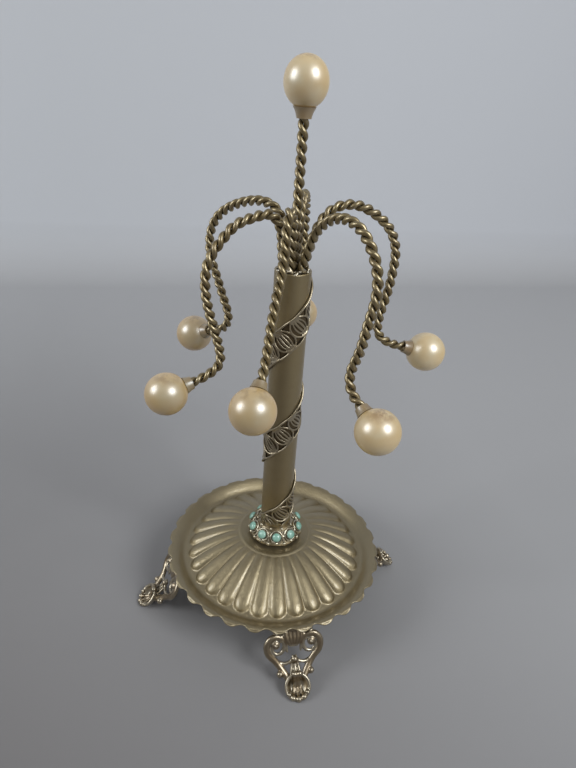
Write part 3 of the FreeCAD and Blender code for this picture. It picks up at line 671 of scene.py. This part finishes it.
# Stops of across, height, radius and lift. The tubes of the first table stand on both sides.
PAIRED_TUBES = (
    ((2.9, 12.6, 0.5, 0.2), (3.4, 15.4, 0.9, 0.2), (3.2, 17.9, 1.2, 0.2), (4.6, 18.6, 0.9, 0.0)),
    ((7.6, 9.4, 0.8, 0.0), (4.6, 8.5, 0.75, 0.3), (2.0, 8.9, 0.7, 0.5), (0.4, 9.9, 0.7, 0.6)),
    ((1.2, 9.4, 0.6, 0.4), (1.5, 7.2, 0.6, 0.4), (2.0, 5.0, 0.7, 0.2)),
)
MIDDLE_TUBES = (
    (
        (-7.6, 20.3, 1.1, -0.3), (-3.6, 21.6, 1.2, 0), (0, 21.0, 1.3, 0),
        (3.6, 21.6, 1.2, 0), (7.6, 20.3, 1.1, -0.3),
    ),
    ((-6.4, 21.3, 1.1, 0), (0, 21.4, 1.1, 0), (6.4, 21.3, 1.1, 0)),
    ((0, 9.0, 0.6, 0.5), (0, 7.0, 0.7, 0.5), (0, 4.8, 1.0, 0.2)),
    ((-2.6, 4.7, 1.3, 0.0), (0, 4.6, 1.5, -0.2), (2.6, 4.7, 1.3, 0.0)),
)
# Across, height, lift and radius of the small beads on both sides.
PAIRED_BEADS = ((6.6, 5.9, 0.3, 1.5), (5.1, 16.9, 0.5, 0.85))
SADDLE_RIBS = (-3.4, -1.7, 0, 1.7, 3.4)
# Share of the rib's place across, height, radius and lift.
SADDLE_STOPS = ((0.4, 15.0, 0.8, 0.3), (0.85, 17.4, 1.05, 0.5), (1, 20.0, 1.0, 0.1))
KNOB_HEIGHT = 9.8
KNOB_RADIUS = 1.5
KNOB_LIFT = 0.8
KNOB_BEADS = 6
KNOB_RING = 1.25
KNOB_BEAD_RADIUS = 0.55
KNOB_BEAD_LIFT = 0.7
FOOT_VOXEL = 0.2

TOE_REACH = 61.2
TOE_HEIGHT = 4.14
TOE_TILT = math.radians(45)
TOE_SIDES = 32
# Radius and depth of the shell, round its outside and back over its lip to its inside.
TOE_OUTSIDE = ((0, -3.9), (1.8, -3.65), (3.5, -2.9), (4.8, -1.7), (5.5, -0.5), (5.6, 0.3))
TOE_INSIDE = ((5.0, 0.6), (4.3, 0.1), (3.9, -0.8), (2.9, -1.9), (1.5, -2.5), (0, -2.6))
LOBE_REACH = 4.6
LOBE_RADIUS = 1.25
LOBE_LIFT = 0.25
TOE_LOBES = ((-58, 0.8), (-30, 1.0), (0, 1.1), (30, 1.0), (58, 0.8))
TOE_RIBS = (-30, 0, 30)
TOE_RIB_RADII = (1.25, 0.85, 0.65, 0.7, 0.9)
TOE_RIB_SIDES = 10


def foot_place(across, height, lift=0.0):
    """A place on the front foot: across its middle, up from the floor, and out from its middle skin."""
    rise = 0.1
    reach = blend_points(FOOT_LINE, height)
    fall = reach - blend_points(FOOT_LINE, height + rise)
    outward = Vector((0, -rise, fall)).normalized()
    return (Vector((across, -reach, height)) + outward * lift) * MM


def add_foot_tube(casting, stops, flat=1.0):
    """A tube on the foot's skin through stops of across, height, radius and lift."""
    spans = len(stops) - 1
    columns = [[(k / spans, stop[n]) for k, stop in enumerate(stops)] for n in range(4)]
    path = []
    radii = []
    guides = []
    for step in range(FOOT_TUBE_STEPS * spans + 1):
        share = step / (FOOT_TUBE_STEPS * spans)
        across, height, radius, lift = (blend_points(column, share) for column in columns)
        here = foot_place(across, height, lift)
        path.append(here)
        radii.append(radius * MM)
        guides.append(foot_place(across, height, lift + 1.0) - here)
    casting.add_tube(path, radii, FOOT_TUBE_SIDES, guides, flat)


def on_side(side, stops):
    """Stops for the right side as they are, or mirrored to the left with a side of minus one."""
    return [(side * across, *rest) for across, *rest in stops]


def volute_stops():
    """The scroll that climbs from the ankle, rolls over outwards and curls in to its eye."""
    middle = Vector(VOLUTE_MIDDLE)
    stops = list(VOLUTE_STEM)
    for turn, reach, radius in VOLUTE_CURL:
        angle = math.radians(turn)
        across = middle.x + reach * math.cos(angle)
        height = middle.y + reach * math.sin(angle)
        stops.append((across, height, radius * VOLUTE_FATNESS, VOLUTE_LIFT))
    return stops


def add_toe(casting):
    """A hollow shell that stands on its lobed lip, with ribs that run in from the ankle."""
    hinge = Vector((0, -TOE_REACH, TOE_HEIGHT))
    opening = Vector((0, -math.sin(TOE_TILT), math.cos(TOE_TILT)))
    inward = Vector((0, math.cos(TOE_TILT), math.sin(TOE_TILT)))
    sideways = Vector((1, 0, 0))

    def toe_place(x, y, depth):
        return (hinge + sideways * x + inward * y + opening * depth) * MM

    casting.add_turned(hinge * MM, opening, in_metres(TOE_OUTSIDE + TOE_INSIDE), TOE_SIDES)
    for angle, weight in TOE_LOBES:
        swing = math.radians(angle)
        tip = toe_place(LOBE_REACH * math.sin(swing), -LOBE_REACH * math.cos(swing), LOBE_LIFT)
        casting.add_ball(tip, LOBE_RADIUS * weight * MM)
    for angle in TOE_RIBS:
        swing = math.radians(angle)
        path = [
            toe_place(2.2 * math.sin(swing), 5.0, 0.7),
            toe_place(1.4 * math.sin(swing), 2.2, -1.2),
            toe_place(2.2 * math.sin(swing), -0.4, -1.9),
            toe_place(3.4 * math.sin(swing), -2.6, -1.2),
            toe_place(4.5 * math.sin(swing), -4.4 * math.cos(swing), 0.2),
        ]
        casting.add_tube(path, [radius * MM for radius in TOE_RIB_RADII], TOE_RIB_SIDES)


def foot_casting():
    """The mesh of the front foot, before it is turned to its place round the dish."""
    casting = Casting()
    for side in (-1, 1):
        add_foot_tube(casting, on_side(side, volute_stops()), VOLUTE_FLATNESS)
        across, height = EYE_PLACE
        eye = foot_place(side * across, height, EYE_LIFT)
        bead = foot_place(side * across, height, EYE_BEAD_LIFT)
        casting.add_ball(eye, EYE_RADIUS * MM, bead - eye, EYE_SQUASH)
        casting.add_ball(bead, EYE_BEAD_RADIUS * MM)
        for stops in PAIRED_TUBES:
            add_foot_tube(casting, on_side(side, stops))
        for across, height, lift, radius in PAIRED_BEADS:
            casting.add_ball(foot_place(side * across, height, lift), radius * MM)
    for place in SADDLE_RIBS:
        add_foot_tube(casting, [(place * share, *rest) for share, *rest in SADDLE_STOPS])
    casting.add_ball(foot_place(0, KNOB_HEIGHT, KNOB_LIFT), KNOB_RADIUS * MM)
    for step in range(KNOB_BEADS):
        angle = math.radians(360 * step / KNOB_BEADS)
        across, beyond = KNOB_RING * math.cos(angle), KNOB_RING * math.sin(angle)
        casting.add_ball(foot_place(across, KNOB_HEIGHT + beyond, KNOB_BEAD_LIFT), KNOB_BEAD_RADIUS * MM)
    for stops in MIDDLE_TUBES:
        add_foot_tube(casting, stops)
    add_toe(casting)
    return casting.make("foot", FOOT_VOXEL * MM, 3)


# Pierced band, in millimetres

TUBE_RADIUS = 7.0
BAND_PITCH = 45.3
BAND_FRONT_HEIGHT = 46.6
BAND_SLOPE = math.atan2(BAND_PITCH, 2 * math.pi * TUBE_RADIUS)
BAND_REACH = 4.75
BAND_LOW = 42.6
BAND_HIGH = 160.2
BAND_TUBE_SIDES = 10
BAND_VOXEL = 0.17
EDGE_WIRE_RADIUS = 0.45
EDGE_WIRE_LIFT = 0.62
EDGE_WIRE_STEP = 0.7
RIPPLE = 0.14
RIPPLE_SHIFT = 1.7
RING_STEP = 8.6
RING_SHIFT = 0.45
RING_ALONG = 4.2
RING_ACROSS = 4.4
RING_WIRE_RADIUS = 0.42
RING_LIFT = 0.42
RING_POINTS = 32
# How far each leaf bows sideways at its middle, and its thickness.
LEAVES = ((-2.3, 0.4), (-0.85, 0.52), (0.75, 0.52), (2.2, 0.4))
LEAF_REACH = 4.2
LEAF_BOW_REACH = 5.4
LEAF_STEPS = 12
LEAF_LIFT = 0.26
LEAF_FLATNESS = 0.5
# The strip of painted shadow under the band: its lifts off the tube, and its steps along and across.
GROUND_LIFTS = (0.1, -0.3)
GROUND_STEP = 0.8
GROUND_STEPS_ACROSS = 10


def band_place(along, across, lift):
    """A place on the band: along its run, across it upwards, and out from the tube."""
    azimuth = (along * math.cos(BAND_SLOPE) - across * math.sin(BAND_SLOPE)) / TUBE_RADIUS
    height = BAND_FRONT_HEIGHT + along * math.sin(BAND_SLOPE) + across * math.cos(BAND_SLOPE)
    return round_place(TUBE_RADIUS + lift, azimuth, height)


def band_run(height):
    """How far along the band its middle reaches a height."""
    return (height - BAND_FRONT_HEIGHT) / math.sin(BAND_SLOPE)


def add_band_line(casting, line, radius, lift, flat=1.0):
    """A tube on the band through places of along and across, left out beyond the band's two ends."""
    runs = [[]]
    for along, across in line:
        here = band_place(along, across, lift)
        if BAND_LOW * MM <= here.z <= BAND_HIGH * MM:
            runs[-1].append((here, band_place(along, across, lift + 1) - here))
        elif runs[-1]:
            runs.append([])
    for run in runs:
        if len(run) > 2:
            path, guides = zip(*run)
            casting.add_tube(path, [radius * MM] * len(path), BAND_TUBE_SIDES, guides, flat)


def band_casting():
    """Two rippled edge wires with a chain of rings between them, each ring with curved leaves across it."""
    casting = Casting()
    start = band_run(BAND_LOW) - BAND_REACH
    end = band_run(BAND_HIGH) + BAND_REACH
    for side in (-1, 1):
        line = []
        along = start
        while along < end:
            ripple = RIPPLE * math.sin(2 * math.pi * (along + side * RIPPLE_SHIFT) / RING_STEP)
            line.append((along, side * BAND_REACH + ripple))
            along += EDGE_WIRE_STEP
        add_band_line(casting, line, EDGE_WIRE_RADIUS, EDGE_WIRE_LIFT)
    for number in range(math.floor(start / RING_STEP), math.ceil(end / RING_STEP) + 1):
        middle = (number + RING_SHIFT) * RING_STEP
        ring = []
        for step in range(RING_POINTS + 2):
            angle = 2 * math.pi * step / RING_POINTS
            ring.append((middle + RING_ALONG * math.cos(angle), RING_ACROSS * math.sin(angle)))
        add_band_line(casting, ring, RING_WIRE_RADIUS, RING_LIFT)
        for bow, radius in LEAVES:
            leaf = []
            for step in range(LEAF_STEPS + 1):
                across = -LEAF_REACH + 2 * LEAF_REACH * step / LEAF_STEPS
                leaf.append((middle + bow * (1 - (across / LEAF_BOW_REACH) ** 2), across))
            add_band_line(casting, leaf, radius, LEAF_LIFT, LEAF_FLATNESS)
    return casting.make("band", BAND_VOXEL * MM, 2)


def band_painted_shadow():
    """A dark strip of painted shadow that shows through the band's piercings."""
    across_steps = GROUND_STEPS_ACROSS
    start = band_run(BAND_LOW) + BAND_REACH
    end = band_run(BAND_HIGH) - BAND_REACH
    count = math.ceil((end - start) / GROUND_STEP)
    points = []
    for lift in GROUND_LIFTS:
        for step in range(count + 1):
            along = start + (end - start) * step / count
            for row in range(across_steps + 1):
                points.append(band_place(along, BAND_REACH * (2 * row / across_steps - 1), lift))
    width = across_steps + 1
    layer = width * (count + 1)
    faces = []
    for step in range(count):
        for row in range(across_steps):
            corner = step * width + row
            faces.append((corner, corner + width, corner + width + 1, corner + 1))
            under = layer + corner
            faces.append((under, under + 1, under + width + 1, under + width))
    rim = list(range(width)) + [step * width + across_steps for step in range(1, count + 1)]
    rim += [count * width + row for row in reversed(range(across_steps))]
    rim += [step * width for step in reversed(range(1, count))]
    for here, beside in zip(rim, rim[1:] + rim[:1]):
        faces.append((here, beside, layer + beside, layer + here))
    return smooth_mesh("band_painted_shadow", points, faces)


# Collar's ornament and stones, in millimetres

STONE_COUNT = 10
STONE_REACH = 10.05
STONE_HEIGHT = 38.0
STONE_TILT = math.atan2(3.9, 5.6)
STONE_SEAT = 0.6
STONE_SIDES = 28
# Radius and height of a stone from its seat up over its dome.
STONE_OUTLINE = (
    (0, 0), (1.74, 0), (1.74, 0.68), (1.95, 0.82), (2.0, 1.05),
    (1.85, 1.4), (1.5, 1.72), (1.0, 1.95), (0.5, 2.07), (0, 2.1),
)
BEZEL_RING = 2.65
BEZEL_WIRE_RADIUS = 0.36
BEZEL_LIFT = 0.5
BEZEL_POINTS = 24
BEZEL_WIRE_SIDES = 8
PETAL_REACH = 3.0
PETAL_LIFT = 0.25
ORNAMENT_VOXEL = 0.15
# Turn in degrees and radius of the granules at a petal's tip, then reach, height and radius between petals.
PETAL_GRANULES = ((-90, 0.85), (-52, 0.5), (-128, 0.5))
BETWEEN_GRANULES = ((12.1, 35.4, 0.8), (10.3, 38.3, 0.6), (8.2, 40.9, 0.7))


def stone_azimuth(number):
    return math.radians(FLUTE_AZIMUTH + number * 360 / STONE_COUNT)


def stone_frame(number):
    """A setting's middle on the collar's slope, the way it faces, the way up the slope, and the way along."""
    azimuth = stone_azimuth(number)
    outward = Vector((math.sin(azimuth), -math.cos(azimuth), 0))
    facing = outward * math.cos(STONE_TILT) + UP * math.sin(STONE_TILT)
    upslope = UP * math.cos(STONE_TILT) - outward * math.sin(STONE_TILT)
    return (outward * STONE_REACH + UP * STONE_HEIGHT) * MM, facing, upslope, facing.cross(upslope)


def cabochon(number):
    """One round domed stone that swells a little over its bezel."""
    middle, facing = stone_frame(number)[:2]
    casting = Casting()
    casting.add_turned(middle + facing * (STONE_SEAT * MM), facing, in_metres(STONE_OUTLINE), STONE_SIDES)
    return casting.make("cabochon")


def collar_ornament():
    """A raised ring round each bezel, and granules on the petals' tips and between the settings."""
    casting = Casting()
    for number in range(STONE_COUNT):
        middle, facing, upslope, along = stone_frame(number)
        ring = []
        for step in range(BEZEL_POINTS + 2):
            angle = 2 * math.pi * step / BEZEL_POINTS
            spoke = along * math.cos(angle) + upslope * math.sin(angle)
            ring.append(middle + (facing * BEZEL_LIFT + spoke * BEZEL_RING) * MM)
        casting.add_tube(ring, [BEZEL_WIRE_RADIUS * MM] * len(ring), BEZEL_WIRE_SIDES)
        for turn, radius in PETAL_GRANULES:
            way = along * math.cos(math.radians(turn)) + upslope * math.sin(math.radians(turn))
            casting.add_ball(middle + (way * PETAL_REACH + facing * PETAL_LIFT) * MM, radius * MM)
        for reach, height, radius in BETWEEN_GRANULES:
            casting.add_ball(round_place(reach, stone_azimuth(number + 0.5), height), radius * MM)
    return casting.make("ornament", ORNAMENT_VOXEL * MM, 1)


# Solder in the tube's mouth, in millimetres

SOLDER_FILL = ((0, 157.0), (5.6, 157.0), (5.9, 158.0), (5.9, 161.2), (4.6, 161.7), (0, 162.2))
SOLDER_SIDES = 40
SOLDER_BLOBS = 48
BLOB_REACH = (4.4, 6.5)
BLOB_RADIUS = (0.45, 0.95)
BLOB_FOOT = 161.8
BLOB_SLOPE_END = 7.2
BLOB_SQUASH = 0.8
SOLDER_VOXEL = 0.18


def mouth_casting():
    """Solder run in between the wires where they leave the tube, lower towards the tube's wall."""
    chance = random.Random(7)
    casting = Casting()
    casting.add_turned(Vector((0, 0, 0)), UP, in_metres(SOLDER_FILL), SOLDER_SIDES)
    for number in range(SOLDER_BLOBS):
        azimuth = chance.uniform(0, 2 * math.pi)
        reach = chance.uniform(*BLOB_REACH)
        size = chance.uniform(*BLOB_RADIUS)
        height = BLOB_FOOT + chance.uniform(0.0, 1.0) * (BLOB_SLOPE_END - reach) / 2
        casting.add_ball(round_place(reach, azimuth, height), size * MM, UP, BLOB_SQUASH)
    return casting.make("solder", SOLDER_VOXEL * MM, 2)


# Finishes of the pieces

dish_plate = aged_plate(
    "dish_plate", (0.170, 0.126, 0.064), (0.34, 0.28, 0.17),
    rough=0.55, reach=1.9 * MM, dents=0.19 * MM, polish=0.35,
)
foot_plate = aged_plate(
    "foot_plate", (0.29, 0.225, 0.14), RUBBED, rough=0.38, reach=1.6 * MM, dents=0.06 * MM, shine=1.2,
)
tube_plate = aged_plate(
    "tube_plate", (0.34, 0.25, 0.105), (0.38, 0.30, 0.16), rough=0.54, reach=1.5 * MM, dents=0.03 * MM,
)
band_plate = aged_plate(
    "band_plate", (0.23, 0.17, 0.095), (0.42, 0.35, 0.235), rough=0.44, reach=1.2 * MM, dents=0.04 * MM,
)
# Near-black painted shadow for the strip under the band's piercings.
painted_shadow_plate = aged_plate(
    "painted_shadow_plate", (0.075, 0.055, 0.032), (0.16, 0.12, 0.07),
    rough=0.62, reach=1.0 * MM, dents=0.03 * MM, polish=0.0,
)
# Wires: the colour of painted shade with patina between the strands is a little lighter.
wire_plate = aged_plate(
    "wire_plate", (0.325, 0.252, 0.118), (0.52, 0.44, 0.30),
    rough=0.48, reach=1.0 * MM, dents=0.02 * MM, hollow=(0.05, 0.037, 0.018),
)
collar_plate = aged_plate(
    "collar_plate", (0.38, 0.315, 0.19), RUBBED,
    rough=0.40, reach=1.2 * MM, dents=0.04 * MM, shade_and_grime_strength=1.1, shine=1.3,
)
solder_plate = aged_plate(
    "solder_plate", (0.42, 0.36, 0.25), (0.62, 0.56, 0.44), rough=0.34, reach=1.0 * MM, dents=0.05 * MM,
)
granule_plate = aged_plate(
    "granule_plate", (0.50, 0.425, 0.28), (0.60, 0.54, 0.40), rough=0.36, reach=0.9 * MM, dents=0.03 * MM,
)
screw_steel = aged_plate(
    "screw_steel", (0.5, 0.49, 0.46), (0.8, 0.8, 0.78), rough=0.35, reach=1.0 * MM, dents=0.02 * MM,
)
pearl = pearl_finish(
    "pearl_lacquer", (0.55, 0.45, 0.27), (0.55, 0.40, 0.19), (0.82, 0.49, 0.12), stains=0.7,
)
light_pearl = pearl_finish(
    "light_pearl_lacquer", (0.80, 0.67, 0.43), (0.80, 0.59, 0.30), (0.94, 0.65, 0.24), stains=0.3,
)
chipped_pearl = pearl_finish(
    "chipped_pearl_lacquer", (0.72, 0.60, 0.38), (0.72, 0.53, 0.27), (0.90, 0.60, 0.20), stains=1.0,
)
cap_lacquer = pearl_finish(
    "cap_lacquer", (0.34, 0.255, 0.125), (0.32, 0.205, 0.085), (0.30, 0.22, 0.10), stains=0.6, gloss=0.5,
)
stone_green = stone_finish("stone_green")
BEAD_FINISHES = {"centre": chipped_pearl, "front_right": chipped_pearl, "back_right": light_pearl}


def dress(node_name, material):
    """Gives a CAD node its finish in every material slot."""
    mesh = nodes[node_name].data
    for slot in range(len(mesh.materials)):
        mesh.materials[slot] = material
    if not mesh.materials:
        mesh.materials.append(material)


add_piece("fluted_dish", dish_casting(), dish_plate, ("base_dish",))
front_foot = foot_casting()
for side in FEET:
    cast = front_foot.copy()
    cast.transform(Matrix.Rotation(math.radians(FOOT_AZIMUTHS[side]), 4, "Z"))
    add_piece("cast_foot_" + side, cast, foot_plate, ("foot_" + side,))
dress("post_tube", tube_plate)
dress("post_plug", tube_plate)
dress("base_washer", screw_steel)
dress("base_screw", screw_steel)
dress("stone_collar", collar_plate)
for number in range(STONE_COUNT):
    node_name = "stone_%02d" % (number + 1)
    add_piece("cabochon_%02d" % (number + 1), cabochon(number), stone_green, (node_name,))
add_piece("collar_ornament", collar_ornament(), granule_plate)
add_piece("pierced_band", band_casting(), band_plate, ("filigree_band",))
# The strip of painted shadow under the band.
add_piece("band_painted_shadow", band_painted_shadow(), painted_shadow_plate)
add_piece("mouth_solder", mouth_casting(), solder_plate)
for side in ("centre",) + SIDES:
    dress("wire_" + side + "_a", wire_plate)
    dress("wire_" + side + "_b", wire_plate)
    dress("bead_" + side, BEAD_FINISHES.get(side, pearl))
    dress("cap_" + side, cap_lacquer)


# Floor, backdrop, light and camera, in metres

BACKDROP_HALF_WIDTH = 1.8
BACKDROP_FRONT = -1.6
BACKDROP_HEIGHT = 1.8
BACKDROP_TURN = math.radians(12)
WALL_START = 0.43
BEND_RADIUS = 0.055
BEND_STEPS = 12
WALL_BLEND_HEIGHT = 0.06
FLOOR_BLEND = (-0.12, 0.42)
FLOOR_BLEND_CURVE = 0.8
SIDE_BLEND = (-0.16, 0.16)
# Each tone is a pair, at the left and at the right. The darker front and left tones are painted shade, and the
# lighter wall tones painted light.
FRONT_TONES = ((0.136, 0.125, 0.121), (0.314, 0.310, 0.314))
BACK_TONES = ((0.448, 0.448, 0.458), (0.505, 0.505, 0.515))
WALL_TONES = ((0.665, 0.682, 0.715), (0.715, 0.732, 0.77))
# Each room tone is a pair, below and above.
ROOM_FRONT = ((0.16, 0.15, 0.14), (0.30, 0.30, 0.30))
ROOM_BACK = ((0.45, 0.45, 0.46), (0.72, 0.73, 0.76))
ROOM_BLEND = (-0.7, 0.8)
ROOM_HEIGHT_BLEND = (-0.2, 1.0)
ROOM_STRENGTH = 0.75
LAMP_AIM = (0.0, 0.0, 0.14)
LAMP_DISTANCE = 0.95
LAMP_SIZE = 0.44
LAMP_COLOUR = (0.94, 0.975, 1.0)
CAMERA_PLACE = (0.0, -0.20135, 0.22545)
CAMERA_DOWN = math.radians(29.07)
CAMERA_TURN = math.radians(0.34)
CAMERA_ROLL = math.radians(4.22)
FOCAL_PIXELS = 560.0
IMAGE_HEIGHT = 768
FILM_HEIGHT = 36.0


def make_backdrop():
    """A floor that runs back and turns up into a wall in one tight sweep, turned a little to the right."""
    profile = [(BACKDROP_FRONT, 0.0), (WALL_START, 0.0)]
    for step in range(1, BEND_STEPS + 1):
        angle = math.pi / 2 * step / BEND_STEPS
        profile.append((WALL_START + BEND_RADIUS * math.sin(angle), BEND_RADIUS * (1 - math.cos(angle))))
    profile.append((WALL_START + BEND_RADIUS, BACKDROP_HEIGHT))
    vertices = [(side * BACKDROP_HALF_WIDTH, y, z) for y, z in profile for side in (-1, 1)]
    faces = [(2 * k, 2 * k + 1, 2 * k + 3, 2 * k + 2) for k in range(len(profile) - 1)]
    mesh = smooth_mesh("backdrop", vertices, faces)
    backdrop = bpy.data.objects.new("backdrop", mesh)
    bpy.context.scene.collection.objects.link(backdrop)
    backdrop.rotation_euler = (0, 0, BACKDROP_TURN)
    mesh.materials.append(backdrop_paper())


def backdrop_paper():
    """Matt grey paper whose tones paint the light's fall-off: painted shade darkens the floor towards the
    front and the left, and the wall is painted lighter, low down too where the bend shades it.
    """
    material, tree, shader = new_material("backdrop_paper")
    place = object_place(tree)
    parts = value_node(tree, "ShaderNodeSeparateXYZ")
    wire_up(tree, place, parts.inputs[0])
    rise = spread(tree, parts.outputs["Z"], 0.0, WALL_BLEND_HEIGHT)
    back = spread(tree, parts.outputs["Y"], *FLOOR_BLEND)
    away = spread(tree, parts.outputs["X"], *SIDE_BLEND)
    front_tone, back_tone, wall_tone = (
        blend_colours(tree, away, *tones) for tones in (FRONT_TONES, BACK_TONES, WALL_TONES)
    )
    floor_tone = blend_colours(tree, math_node(tree, "POWER", back, FLOOR_BLEND_CURVE), front_tone, back_tone)
    wire_up(tree, blend_colours(tree, rise, floor_tone, wall_tone), shader.inputs["Base Color"])
    grain = spread(tree, cloud(tree, place, 20 * MM), *WIDE_RANGE, 0.85, 0.95)
    wire_up(tree, grain, shader.inputs["Roughness"])
    set_values(shader, Specular_IOR_Level=0.2)
    return material


def make_world():
    """Even light from a room that is bright behind and dim in front, and a little brighter above."""
    world = bpy.data.worlds.new("soft_room")
    world.use_nodes = True
    tree = world.node_tree
    background = tree.nodes["Background"]
    direction = value_node(tree, "ShaderNodeTexCoord").outputs["Generated"]
    parts = value_node(tree, "ShaderNodeSeparateXYZ")
    wire_up(tree, direction, parts.inputs[0])
    behind = spread(tree, parts.outputs["Y"], *ROOM_BLEND)
    height = spread(tree, parts.outputs["Z"], *ROOM_HEIGHT_BLEND)
    front = blend_colours(tree, height, *ROOM_FRONT)
    back = blend_colours(tree, height, *ROOM_BACK)
    wire_up(tree, blend_colours(tree, behind, front, back), background.inputs["Color"])
    background.inputs["Strength"].default_value = ROOM_STRENGTH
    bpy.context.scene.world = world


def make_softbox(name, direction, power):
    """A square lamp that looks at the beads from the given direction."""
    lamp = bpy.data.lights.new(name, "AREA")
    lamp.shape = "SQUARE"
    lamp.size = LAMP_SIZE
    lamp.energy = power
    lamp.color = LAMP_COLOUR
    holder = bpy.data.objects.new(name, lamp)
    way = Vector(direction).normalized()
    holder.location = Vector(LAMP_AIM) + way * LAMP_DISTANCE
    holder.rotation_euler = way.to_track_quat("Z", "Y").to_euler()
    bpy.context.scene.collection.objects.link(holder)


def make_camera():
    """The photograph's viewpoint: close, from above, and rolled a little."""
    down, turn, roll = CAMERA_DOWN, CAMERA_TURN, CAMERA_ROLL
    data = bpy.data.cameras.new("camera")
    data.sensor_fit = "VERTICAL"
    data.sensor_height = FILM_HEIGHT
    data.lens = FOCAL_PIXELS / IMAGE_HEIGHT * FILM_HEIGHT
    data.clip_start = 0.01
    camera = bpy.data.objects.new("camera", data)
    bpy.context.scene.collection.objects.link(camera)
    ahead = Vector((math.sin(turn) * math.cos(down), math.cos(turn) * math.cos(down), -math.sin(down)))
    right = Vector((math.cos(turn), -math.sin(turn), 0.0))
    above = right.cross(ahead)
    rolled_right = right * math.cos(roll) + above * math.sin(roll)
    rolled_up = above * math.cos(roll) - right * math.sin(roll)
    turned = Matrix((rolled_right, rolled_up, -ahead)).transposed().to_4x4()
    camera.matrix_world = Matrix.Translation(CAMERA_PLACE) @ turned
    bpy.context.scene.camera = camera


make_backdrop()
make_world()
make_softbox("left_light", (-0.853, -0.273, 0.445), 4.0)
make_softbox("right_light", (0.614, -0.493, 0.615), 6.0)
make_camera()
bpy.context.scene.view_settings.view_transform = "Standard"
